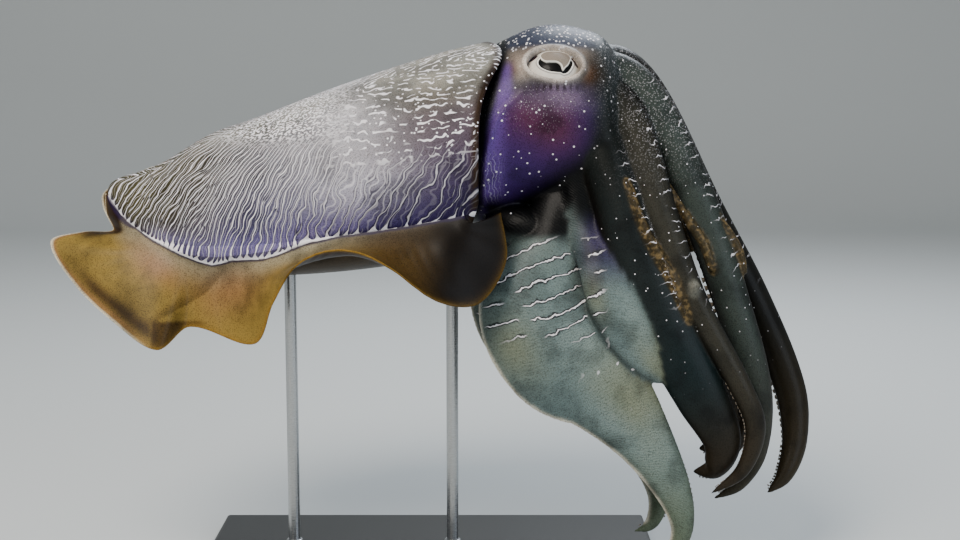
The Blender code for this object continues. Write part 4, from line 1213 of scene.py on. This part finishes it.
# Flanks and inner faces take the darker tone as painted shade.
for number, (crest, flank, tip) in ARM_TONES.items():
    mine = (on_arm & (order == number)).astype(float)
    arm_tone = paint(arm_tone, mine, flank)
    arm_tone = paint(arm_tone, mine * ease(face, 0.1, 0.9), crest)
    arm_tone = paint(arm_tone, mine * ease(arm_share, 0.6, 0.95) * 0.8, tip)
web_run = np.where(web, run, 0.0)
from_hollow = web_run + 9 * side  # the hollow's lower edge slopes across the web
for mask, name in (
    (web * bump_at(web_run, 195, 50) * ease(side, 0.5, -0.5) * 0.9, "slate"),
    (web * bump_at(web_run, 150, 40) * 0.5, "slate"),
    (web * bump_at(web_run, 262, 40) * ease(side, -0.6, 0.3) * 0.6, "olive"),
    (web * bump_at(web_run, 165, 26) * bump_at(side, -0.6, 0.4) * 0.45, "olive"),
    # painted shade: the web's upper part darkened a little toward the hollow
    (web * ease(high, -30, 20) * 0.3, "night"),
    (web * ease(high, -28, 26) * ease(ahead, 136, 158) * 0.95, "purple"),
    # painted shade: the web's top by the hollow, and the hollow's lower edge, painted near black
    (web * ease(high, 26, 62) * ease(ahead, 128, 146), "night"),
    (web * ease(from_hollow, 78, 64) * ease(high, -10, 12), "night"),
    (web * ease(edge_gap, 1.4, 0.2) * (side < 0) * ease(web_run, 100, 135), "rim"),
):
    arm_tone = paint(arm_tone, mask, WEB_TONES[name])
keel = ease(keel_gap, 2.4, 0.2)
wart_gap = np.linalg.norm((places - WART[:3]) * (1, 1, 0.75), axis=1)
crease_line = np.pad(route_at(CREASE, np.linspace(0, 1, 80)), ((0, 0), (0, 1)))
_, crease_gap = nearest_on(crease_line, np.stack([ahead, high, 0 * high], axis=1))
# Painted shade along the crease of the web: near black on its line, fading off to each side.
crease_shade = np.exp(-crease_gap / 2.6) * web * ease(high, -24, -50) * (np.abs(places[:, 1]) > 40)
for mask, hex_colour in (
    (on_arm * (order == 3) * bump_at(arm_share, 0.68, 0.12) * 0.8, TEAL_TONE),
    (keel * 0.8, KEEL_TONE),
    (ease(wart_gap, 8.0, 3.5) * (places[:, 1] > WART[1]), WART_TONE),
    # painted shade in the web's crease
    (crease_shade * 0.85, WEB_TONES["night"]),
):
    arm_tone = paint(arm_tone, mask, hex_colour)
blend = ease(run, 8, 55) * on_arm
tone = head_tone * (1 - blend[:, None]) + arm_tone * blend[:, None]
# Painted shade: the hollow between the cheek and the webs is painted near black.
hollow_shade = ease(high, 76, 60) * ease(ahead, 45, 60) * ease(ahead, 160, 146) * (1 - blend)
tone = paint(tone, hollow_shade, HEAD_TONES["night"])
# Painted shadow behind the eye, between it and the arms' roots, in near-black olive.
shadow_by_eye = spot(171, 120, 22, 58)
tone = paint(tone, shadow_by_eye * 0.92 * (1 - keel), HEAD_TONES["olive"])

# The colours run softly into each other: each point takes the mean of its neighbours a few times.
edges = np.empty(len(head.data.edges) * 2, np.int64)
head.data.edges.foreach_get("vertices", edges)
first, second = edges.reshape(-1, 2).T
neighbours = np.bincount(edges, minlength=len(places))[:, None]
for _ in range(TONE_SOFTENINGS):
    totals = []
    for part in tone.T:
        from_second = np.bincount(first, part[second], len(places))
        totals.append(from_second + np.bincount(second, part[first], len(places)))
    tone = 0.4 * tone + 0.6 * np.stack(totals, axis=1) / np.maximum(neighbours, 1)

# The smooth numbers that the skin's shader reads.
slim_arm = on_arm & (order < 4)
stripe_home = web * ease(high, 34, 24) * ease(high, -72, -58) * ease(ahead, 172, 160)
head_fields = {
    "run": run,
    "side": side,
    "stripe_run": high - 0.35 * (ahead - 107),
    "stripe_across": ahead / 40,
    "stripe_home": stripe_home * ease(-side, 0.95, 0.85),
    "low_web": web * bump_at(ahead, 178, 26) * bump_at(high, -95, 24) * ease(face, 0, 0.3),
    "web": web * blend,
    "dash_home": slim_arm * bump_at(side, 0.70, 0.20) * ease(run, 45, 80) * ease(arm_share, 0.58, 0.46),
    "dot_home": (1 - web) * (1 - 0.8 * shadow_by_eye) * (1 - shadow) * ease(arm_share, 0.75, 0.5),
    "arm": on_arm * blend,
    "keel": keel * ease(arm_share, 0.8, 0.6),
    "crown": ease(high, 207, 216) * ease(ahead, 186, 160),
    "haze": ease(ahead, 150, 175) * ease(high, 60, 150) * (1 - web) * (1 - shadow_by_eye),
    "speckle": spot(108, 156, 40, 20),
    "lash": spot(121, 172.5, 27, 3.4),
    "lash_run": ahead / 6.2,
    "fold_home": bump_at(ahead, 61, 7) * ease(high, 62, 75) * ease(high, 116, 98) * outer,
    "fold_run": (ahead - 0.0035 * (high - 104) ** 2) / 3.6,
}

# Wet skin of the head and arms: the same satin skin, darker, with white dots and short wavy dashes
# that stand a little proud, and white stripes with dark edges on the broad webs.
store(head.data, head_fields, tone)
marks = read_marks(tree, head_fields)
pigment_steps = ((0.45, 0.75, 0.30), (0.50, 0.32, 0.50), (0.50, 0.66, 0.35), (0.50, 0.36, 0.50))
colour, place, grain = pigment(tree, 32.0, pigment_steps)
wander = put(tree, "TexNoise", {"Vector": place, "Scale": 110.0, "Detail": 2.0})

# Stripes across the webs, with a dark outline
stripe_run = put(tree, "Math", (wander, 11.0, marks["stripe_run"]), operation="MULTIPLY_ADD")
stripe_count = put(tree, "Math", (stripe_run, 17.5), operation="DIVIDE")
stripe_vector = put(tree, "CombineXYZ", (stripe_count, marks["stripe_across"]))
homes = (marks["stripe_home"],)
stripe, near, sure = strokes(tree, stripe_vector, (0.08, 0.30), 5, (0.955, 0.985), (0.35, 0.6), homes)
stripe_dark = put(tree, "MapRange", (near, 0.60, 0.86), **SOFT)
stripe_dark = over_each(tree, "MULTIPLY", (stripe_dark, sure, marks["stripe_home"], 0.9))

# Short wavy dashes along the arms' edges
dash_run = put(tree, "Math", (wander, 12.0, marks["run"]), operation="MULTIPLY_ADD")
dash_count = put(tree, "Math", (dash_run, 12.5), operation="DIVIDE")
dash_vector = put(tree, "CombineXYZ", (dash_count, marks["side"]))
homes = (marks["dash_home"],)
dash, _, _ = strokes(tree, dash_vector, (0.12, 0.45), 12, (0.94, 0.985), (0.4, 0.7), homes)

# Dots, few on the cheeks, fewer and smaller on the arms, and short strokes crowded on the crown
sparse = put(tree, "TexVoronoi", {"Vector": place, "Scale": 130.0})
sparse = put(tree, "Math", (marks["arm"], 0.045, sparse), operation="MULTIPLY_ADD")
dots = put(tree, "MapRange", (sparse, 0.150, 0.115), **SOFT)
dots = put(tree, "Math", (dots, marks["dot_home"]), operation="MULTIPLY")
stroke_place = put(tree, "VectorMath", (place, (1.0, 0.7, 0.7)), operation="MULTIPLY")
crown_cells = put(tree, "TexVoronoi", {"Vector": stroke_place, "Scale": 235.0})
crown_dots = put(tree, "MapRange", (crown_cells, 0.30, 0.20), **SOFT)
crown_dots = over_each(tree, "MULTIPLY", (crown_dots, marks["crown"], 0.9))
crowded = put(tree, "TexVoronoi", {"Vector": place, "Scale": 500.0})
haze = put(tree, "MapRange", (crowded, 0.42, 0.20), **SOFT)
haze = over_each(tree, "MULTIPLY", (haze, marks["haze"], 0.20))
speckle = put(tree, "MapRange", (crowded, 0.25, 0.18), **SOFT)
speckle = over_each(tree, "MULTIPLY", (speckle, marks["speckle"], 0.3))


def wave_of(tree, run, pace):
    """A sine wave along a run."""
    turn = put(tree, "Math", (run, pace), operation="MULTIPLY")
    return put(tree, "Math", (turn,), operation="SINE")


# Fine wrinkles by the collar, dark lashes under the eye and faint ripples on the low webs
fold_run = put(tree, "Math", (wander, 3.2, marks["fold_run"]), operation="MULTIPLY_ADD")
folds = wave_of(tree, fold_run, math.tau)
folds = put(tree, "MapRange", (folds, 0.6, 1.0, 0.0, 0.28), **SOFT)
folds = put(tree, "Math", (folds, marks["fold_home"]), operation="MULTIPLY")
lash_run = put(tree, "Math", (wander, 0.8, marks["lash_run"]), operation="MULTIPLY_ADD")
lashes = wave_of(tree, lash_run, math.tau)
lashes = put(tree, "MapRange", (lashes, -0.1, 0.7, 0.0, 0.85), **SOFT)
lashes = put(tree, "Math", (lashes, marks["lash"]), operation="MULTIPLY")
ripple_run = put(tree, "Math", (wander, 7.0, marks["run"]), operation="MULTIPLY_ADD")
ripple_run = put(tree, "Math", (marks["side"], -14.0, ripple_run), operation="MULTIPLY_ADD")
ripples = wave_of(tree, ripple_run, 2.1)
ripples = put(tree, "Math", (ripples, marks["web"]), operation="MULTIPLY")
ripple_dark = put(tree, "MapRange", (ripples, 0.2, 1.0, 0.0, 0.12))
blob_place = put(tree, "VectorMath", (place, (1.0, 0.6, 0.55)), operation="MULTIPLY")
blob_shift = put(tree, "TexNoise", {"Vector": place, "Scale": 120.0, "Detail": 0.5}, out=1)
blob_places = (blob_shift, (0.012, 0.012, 0.012), blob_place)
blob_place = put(tree, "VectorMath", blob_places, operation="MULTIPLY_ADD")
web_blobs = put(tree, "TexVoronoi", {"Vector": blob_place, "Scale": 75.0})
web_blobs = put(tree, "MapRange", (web_blobs, 0.17, 0.10), **SOFT)
web_blobs = over_each(tree, "MULTIPLY", (web_blobs, marks["low_web"], 0.7))

white = over_each(tree, "MAXIMUM", (stripe, dash, dots, crown_dots, haze, speckle, folds, web_blobs))
gold_noise = put(tree, "TexNoise", {"Vector": place, "Scale": 210.0, "Detail": 3.0})
gold = put(tree, "MapRange", (gold_noise, 0.44, 0.70, 0.0, 0.7), **SOFT)
gold = put(tree, "Math", (gold, marks["keel"]), operation="MULTIPLY")
layers = [
    (gold, "7b6744"),
    (ripple_dark, "30352f"),
    (lashes, "1e1218"),
    (stripe_dark, "1c1f22"),
    (white, "ece8ec"),
]
low_ripples = put(tree, "Math", (ripples, 0.35), operation="MULTIPLY")
relief = over_each(tree, "ADD", (grain, white, low_ripples))
bump = put(tree, "Bump", {"Height": relief, "Strength": 0.35, "Distance": 0.0007})
colour = layered(tree, colour, layers)
feed(shader, {"Base Color": colour, "Roughness": 0.42, "Normal": bump, **WET_SKIN})

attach(head, "root")
arm_nodes = [f"arm_{name}_{length}" for name in routes for length in ("base", "middle", "tip")]
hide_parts("head", "funnel", *arm_nodes)

# Eyes. Each is a firm wet ball under clear skin: white, with a black pupil in the shape of a W, whose
# middle is covered by a grey-beige flap that hangs from above. It lies in the ring of the lids.
EYE_FINE_RINGS, EYE_BACK_RINGS, EYE_SPOKES = 120, 14, 260
EYE_FINE_REACH = 1.15  # radians from the front
# Outlines of the pupil and its flap on the ball's front: toward the arms, and up.
PUPIL = (
    (-15.2, 5.4), (-13.2, -2.0), (-6.3, -6.8), (0.4, -8.0), (5.7, -8.0), (8.5, -8.6), (12.6, -6.2),
    (16.4, 0.2), (17.8, 8.1), (10.0, 11.5), (-8.0, 11.5),
)
FLAP = (
    (-13.4, 9.5), (-12.6, 13.5), (-7.6, 16.8), (4.0, 17.4), (14.0, 16.6), (16.4, 11.0), (15.2, 6.5),
    (13.2, 1.2), (9.8, -3.4), (7.9, -6.2), (6.8, -5.0), (5.4, -1.0), (1.8, 1.6), (-3.4, 1.8), (-8.6, 2.4),
    (-12.0, 5.4),
)
FLAP_LIFT, PUPIL_DEPTH = 0.9, 1.2


def closed_curve(corners):
    """A smooth closed line through corners."""
    corners = np.asarray(corners, float)
    around = np.concatenate([corners[-2:], corners, corners[:3]])
    knots = np.arange(len(around)) - 2.0
    return smooth(knots, around, np.linspace(0, len(corners), 12 * len(corners), endpoint=False))


def gap_to(curve, points):
    """Distance of flat points to a closed line, negative inside it."""
    start, end = curve, np.roll(curve, -1, axis=0)
    side = end - start
    away = points[:, None] - start
    part = np.clip((away * side).sum(-1) / (side * side).sum(-1), 0, 1)
    gap = np.linalg.norm(away - part[..., None] * side, axis=-1).min(axis=1)
    above = (start[:, 1] > points[:, 1:2]) != (end[:, 1] > points[:, 1:2])
    slope = np.where(side[:, 1] == 0, 1e-9, side[:, 1])
    crossing = points[:, 0:1] < start[:, 0] + side[:, 0] * (points[:, 1:2] - start[:, 1]) / slope
    inside = (above & crossing).sum(axis=1) % 2 == 1
    return np.where(inside, -gap, gap)


# Wet eye: glossy as a water film, with crisp edges where the pupil's rim and the flap end.
wet_eye, tree, shader = new_material("wet_cuttlefish_eye")
marks = read_marks(tree, ("pupil", "flap", "corner"))
place = put(tree, "TexCoord", out="Object")
cloud = put(tree, "TexNoise", {"Vector": place, "Scale": 260.0, "Detail": 4.0})
fleck = put(tree, "TexNoise", {"Vector": place, "Scale": 1400.0, "Detail": 2.0})
inside = put(tree, "MapRange", (marks["pupil"], 0.15, -0.15), **SOFT)
rim = put(tree, "MapRange", (marks["pupil"], 2.6, 1.2), **SOFT)
rim_line = put(tree, "MapRange", (marks["pupil"], 1.3, 0.9), **SOFT)
flap_edge = put(tree, "MapRange", (marks["flap"], 0.15, -0.15), **SOFT)
flap_face = put(tree, "MapRange", (marks["flap"], -0.9, -1.5), **SOFT)
flecks = put(tree, "MapRange", (fleck, 0.45, 0.62, 0.0, 0.4))
flecks = put(tree, "Math", (flecks, flap_face), operation="MULTIPLY")
layers = [
    (cloud, "e9e4da"),
    (rim, "8d8680"),
    (rim_line, "f0ece4"),
    (inside, "010102"),
    # painted shade: dark crescents in the ball's corners, under the lids
    (marks["corner"], "2f1d26"),
    (flap_edge, "f0ebe0"),
    (flap_face, "8f8478"),
    (flecks, "5d5148"),
]
colour = layered(tree, linear("cfc8bd"), layers)
film = {"Specular IOR Level": 0.2, "IOR": 1.38, "Coat Weight": 0.1, "Coat Roughness": 0.10}
feed(shader, {"Base Color": colour, "Roughness": 0.45, **film})

front_turns = np.linspace(0.006, EYE_FINE_REACH, EYE_FINE_RINGS)
back_turns = np.linspace(EYE_FINE_REACH, math.pi - 0.1, EYE_BACK_RINGS + 1)[1:]
turns = np.concatenate([front_turns, back_turns])[:, None]
spokes = turns_round(EYE_SPOKES)[None, :]
flat_long = EYE_RADIUS * np.sin(turns) * np.cos(spokes)
flat_short = EYE_RADIUS * np.sin(turns) * np.sin(spokes)
flat = np.stack([flat_long.ravel(), flat_short.ravel()], axis=1)
facing_front = np.repeat(turns < math.pi / 2, EYE_SPOKES, axis=1).ravel()
pupil_gap = np.where(facing_front, gap_to(closed_curve(PUPIL), flat), 20.0)
flap_gap = np.where(facing_front, gap_to(closed_curve(FLAP), flat), 20.0)
lift = FLAP_LIFT * ease(flap_gap, 0.3, -1.2) - PUPIL_DEPTH * ease(pupil_gap, 0.4, -1.0) * (flap_gap > 0)
lift = lift + 0.5 * bump_at(flap_gap, -0.5, 0.5) + 0.35 * bump_at(pupil_gap, 1.1, 0.5) * (flap_gap > 0.5)
# Dark crescents in the ball's upper corners, painted as the shade under the lids.
lid_share = np.hypot(flat[:, 0] / LID_LONG, (flat[:, 1] - LID_RISE) / LID_SHORT)
lid_turn = np.degrees(np.arctan2((flat[:, 1] - LID_RISE) / LID_SHORT, flat[:, 0] / LID_LONG))
corner = bump_at(lid_share, 0.80, 0.13) * np.maximum(bump_at(lid_turn, 22, 24), bump_at(lid_turn, 148, 17))
corner = ease(corner, 0.35, 0.65) * facing_front * (flap_gap > 0.3)
for side in ("right", "left"):
    centre, facing, long, short = eye_frame(side)
    radius = EYE_RADIUS + lift.reshape(turns.shape[0], -1)[..., None]
    ball = centre + radius * (
        np.cos(turns)[..., None] * facing
        + np.sin(turns)[..., None] * (np.cos(spokes)[..., None] * long + np.sin(spokes)[..., None] * short)
    )
    points, faces = loft(ball)
    eye = add_mesh(f"eye_{side}_ball", placed(points), faces, wet_eye)
    gaps = {"pupil": pupil_gap, "flap": flap_gap, "corner": corner}
    store(eye.data, {name: np.append(values, values[[0, -1]]) for name, values in gaps.items()})
    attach(eye, "root")
    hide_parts(f"eye_{side}")

# Suckers. Four rows of small horny-ringed cups stand on the inner face of every arm, out to its tip:
# pale soft stalks with a raised rim and a sunk floor, bedded in the arm's skin.
SUCKER_RATIO = 0.20  # radius against the arm's half depth
SUCKER_LEAST = 0.7
SUCKER_STEP = 2.7  # radii between neighbours along a row
SUCKER_ROWS = (-45, -16, 16, 45)
SUCKER_SIDES = 12
SUCKER_SHAPE = (  # height and radius against the sucker's radius, and how deep in the cup that is
    (-1.0, 0.62, 0.0), (0.25, 0.72, 0.0), (0.55, 0.98, 0.0), (0.72, 0.96, 0.0), (0.78, 0.80, 0.1),
    (0.55, 0.60, 0.7), (0.30, 0.40, 1.0),
)
SUCKER_INWARD = -0.2  # suckers that would face more to the viewer than this are left out
SUCKER_ROOM = 1.5  # round the other arms
SUCKER_FIRST, SUCKER_LAST = 0.16, 0.985
SUCKER_TURN = -45.0  # how far the inner faces look past the middle of the arms, to the left

cup_skin, tree, shader = new_material("soft_sucker_skin")
place = put(tree, "TexCoord", out="Object")
fleck = put(tree, "TexNoise", {"Vector": place, "Scale": 700.0, "Detail": 2.0})
depth = put(tree, "Attribute", out="Fac", attribute_name="depth")
# The cups are painted darker toward their sunk floor, as painted shade.
colour = layered(tree, linear("6b5f52"), [(fleck, "8c8070"), (depth, "3a2a24")])
feed(shader, {"Base Color": colour, "Roughness": 0.40, "Coat Weight": 0.15, "Coat Roughness": 0.25})



def in_other_arm(top, name):
    """Whether a sucker's top would stand in an arm other than its own."""
    for other, (middle, _, _, deep, half_width, half_depth) in frames.items():
        away = top - middle
        near = int(np.argmin((away**2).sum(axis=1)))
        through = np.dot(away[near], deep[near])
        across = np.linalg.norm(away[near] - deep[near] * through)
        through_share = through / (half_depth[near] + SUCKER_ROOM)
        if other != name and math.hypot(through_share, across / (half_width[near] + SUCKER_ROOM)) < 1:
            return True
    return False


cup_forms = []
hearts = np.mean([frames[name][0] for name in routes], axis=0)
hearts[:, 1] += SUCKER_TURN
angles = turns_round(SUCKER_SIDES)[:, None]
for name in routes:
    run_at = SUCKER_FIRST * runs[name][-1]
    while run_at < SUCKER_LAST * runs[name][-1]:
        station = int(np.searchsorted(runs[name], run_at))
        here, forward, wide, deep, half_width, half_depth = (part[station] for part in frames[name])
        radius = max(SUCKER_RATIO * half_depth, SUCKER_LEAST)
        inward = hearts[station] - here
        inward = unit(inward - forward * np.dot(inward, forward))
        for number, tilt in enumerate(SUCKER_ROWS):
            turn = math.radians(tilt)
            out_way = math.cos(turn) * inward + math.sin(turn) * np.cross(forward, inward)
            across, through = np.dot(out_way, wide), np.dot(out_way, deep)
            reach = 1 / math.hypot(across / half_width, through / half_depth)
            normal = unit(wide * across / half_width**2 + deep * through / half_depth**2)
            skin_at = here + out_way * reach + forward * radius * SUCKER_STEP * 0.5 * (number % 2)
            if normal[1] > SUCKER_INWARD or in_other_arm(skin_at + normal * radius, name):
                continue
            one = unit(np.cross(normal, forward))
            spoke = np.cos(angles) * np.cross(one, normal) + np.sin(angles) * one
            cup = [skin_at + radius * (lift * normal + spread * spoke) for lift, spread, _ in SUCKER_SHAPE]
            cup_forms.append(loft(np.array(cup)))
        run_at += radius * SUCKER_STEP
points, faces = joined(cup_forms)
cups = add_mesh("sucker_rows", placed(points), faces, cup_skin)
cup_depths = np.repeat([depth for _, _, depth in SUCKER_SHAPE], SUCKER_SIDES)
store(cups.data, {"depth": np.tile(np.append(cup_depths, cup_depths[[0, -1]]), len(cup_forms))})
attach(cups, "root")

# Stand. The flat base is a board with satin black lacquer, and the two rods are brushed steel, each
# held in a small turned collar of the same steel that is screwed to the board.
ROD_COLLAR_PROFILE = (  # height and radius
    (0.1, 6.2), (0.1, 13.0), (1.2, 14.0), (4.0, 14.0), (5.5, 12.8), (8.5, 9.2), (12.0, 8.2), (13.0, 7.4),
    (13.0, 6.2),
)
ROD_COLLAR_SIDES = 64

steel, tree, shader = new_material("brushed_steel")
# Brushed steel has fine scratches round the rod, which stretch its highlights along it.
place = put(tree, "TexCoord", out="Object")
scratch_place = put(tree, "VectorMath", (place, (250.0, 250.0, 9000.0)), operation="MULTIPLY")
scratches = put(tree, "TexNoise", {"Vector": scratch_place, "Scale": 1.0, "Detail": 2.0})
colour = layered(tree, linear("a9abad"), [(scratches, "c3c5c6")])
rough = put(tree, "MapRange", (scratches, 0.3, 0.7, 0.22, 0.36))
feed(shader, {"Base Color": colour, "Roughness": rough, "Metallic": 1.0, "Anisotropic": 0.5})

lacquer, tree, shader = new_material("satin_black_lacquer")
# Lacquer on board is nearly black, with the faint orange peel of a sprayed coat.
place = put(tree, "TexCoord", out="Object")
peel = put(tree, "TexNoise", {"Vector": place, "Scale": 340.0, "Detail": 1.0})
colour = layered(tree, linear("141416"), [(peel, "1a1a1c")])
bump = put(tree, "Bump", {"Height": peel, "Strength": 0.08, "Distance": 0.0004})
coat = {"Roughness": 0.38, "Coat Weight": 0.3, "Coat Roughness": 0.2}
feed(shader, {"Base Color": colour, "Normal": bump, **coat})

base_top = max(corner[2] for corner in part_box("stand_base"))
for name, finish in (("stand_base", lacquer), ("stand_rod_rear", steel), ("stand_rod_front", steel)):
    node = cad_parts[name]
    node.data.materials.clear()
    node.data.materials.append(finish)
for place_name in ("rear", "front"):
    low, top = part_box(f"stand_rod_{place_name}")
    middle = np.array([(low[0] + top[0]) / 2, (low[1] + top[1]) / 2, base_top])
    angles = turns_round(ROD_COLLAR_SIDES)
    circle = np.stack([np.cos(angles), np.sin(angles), np.zeros(ROD_COLLAR_SIDES)], axis=1)
    rings = [middle + (circle * radius + (0, 0, high)) * MM for high, radius in ROD_COLLAR_PROFILE]
    grid = np.arange(len(rings) * ROD_COLLAR_SIDES).reshape(len(rings), ROD_COLLAR_SIDES)
    grid = np.concatenate([grid, grid[:1]])
    faces = quads(np.concatenate([grid, grid[:, :1]], axis=1)).tolist()
    collar = add_mesh(f"rod_{place_name}_collar", np.concatenate(rings), faces, steel)
    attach(collar, "root")
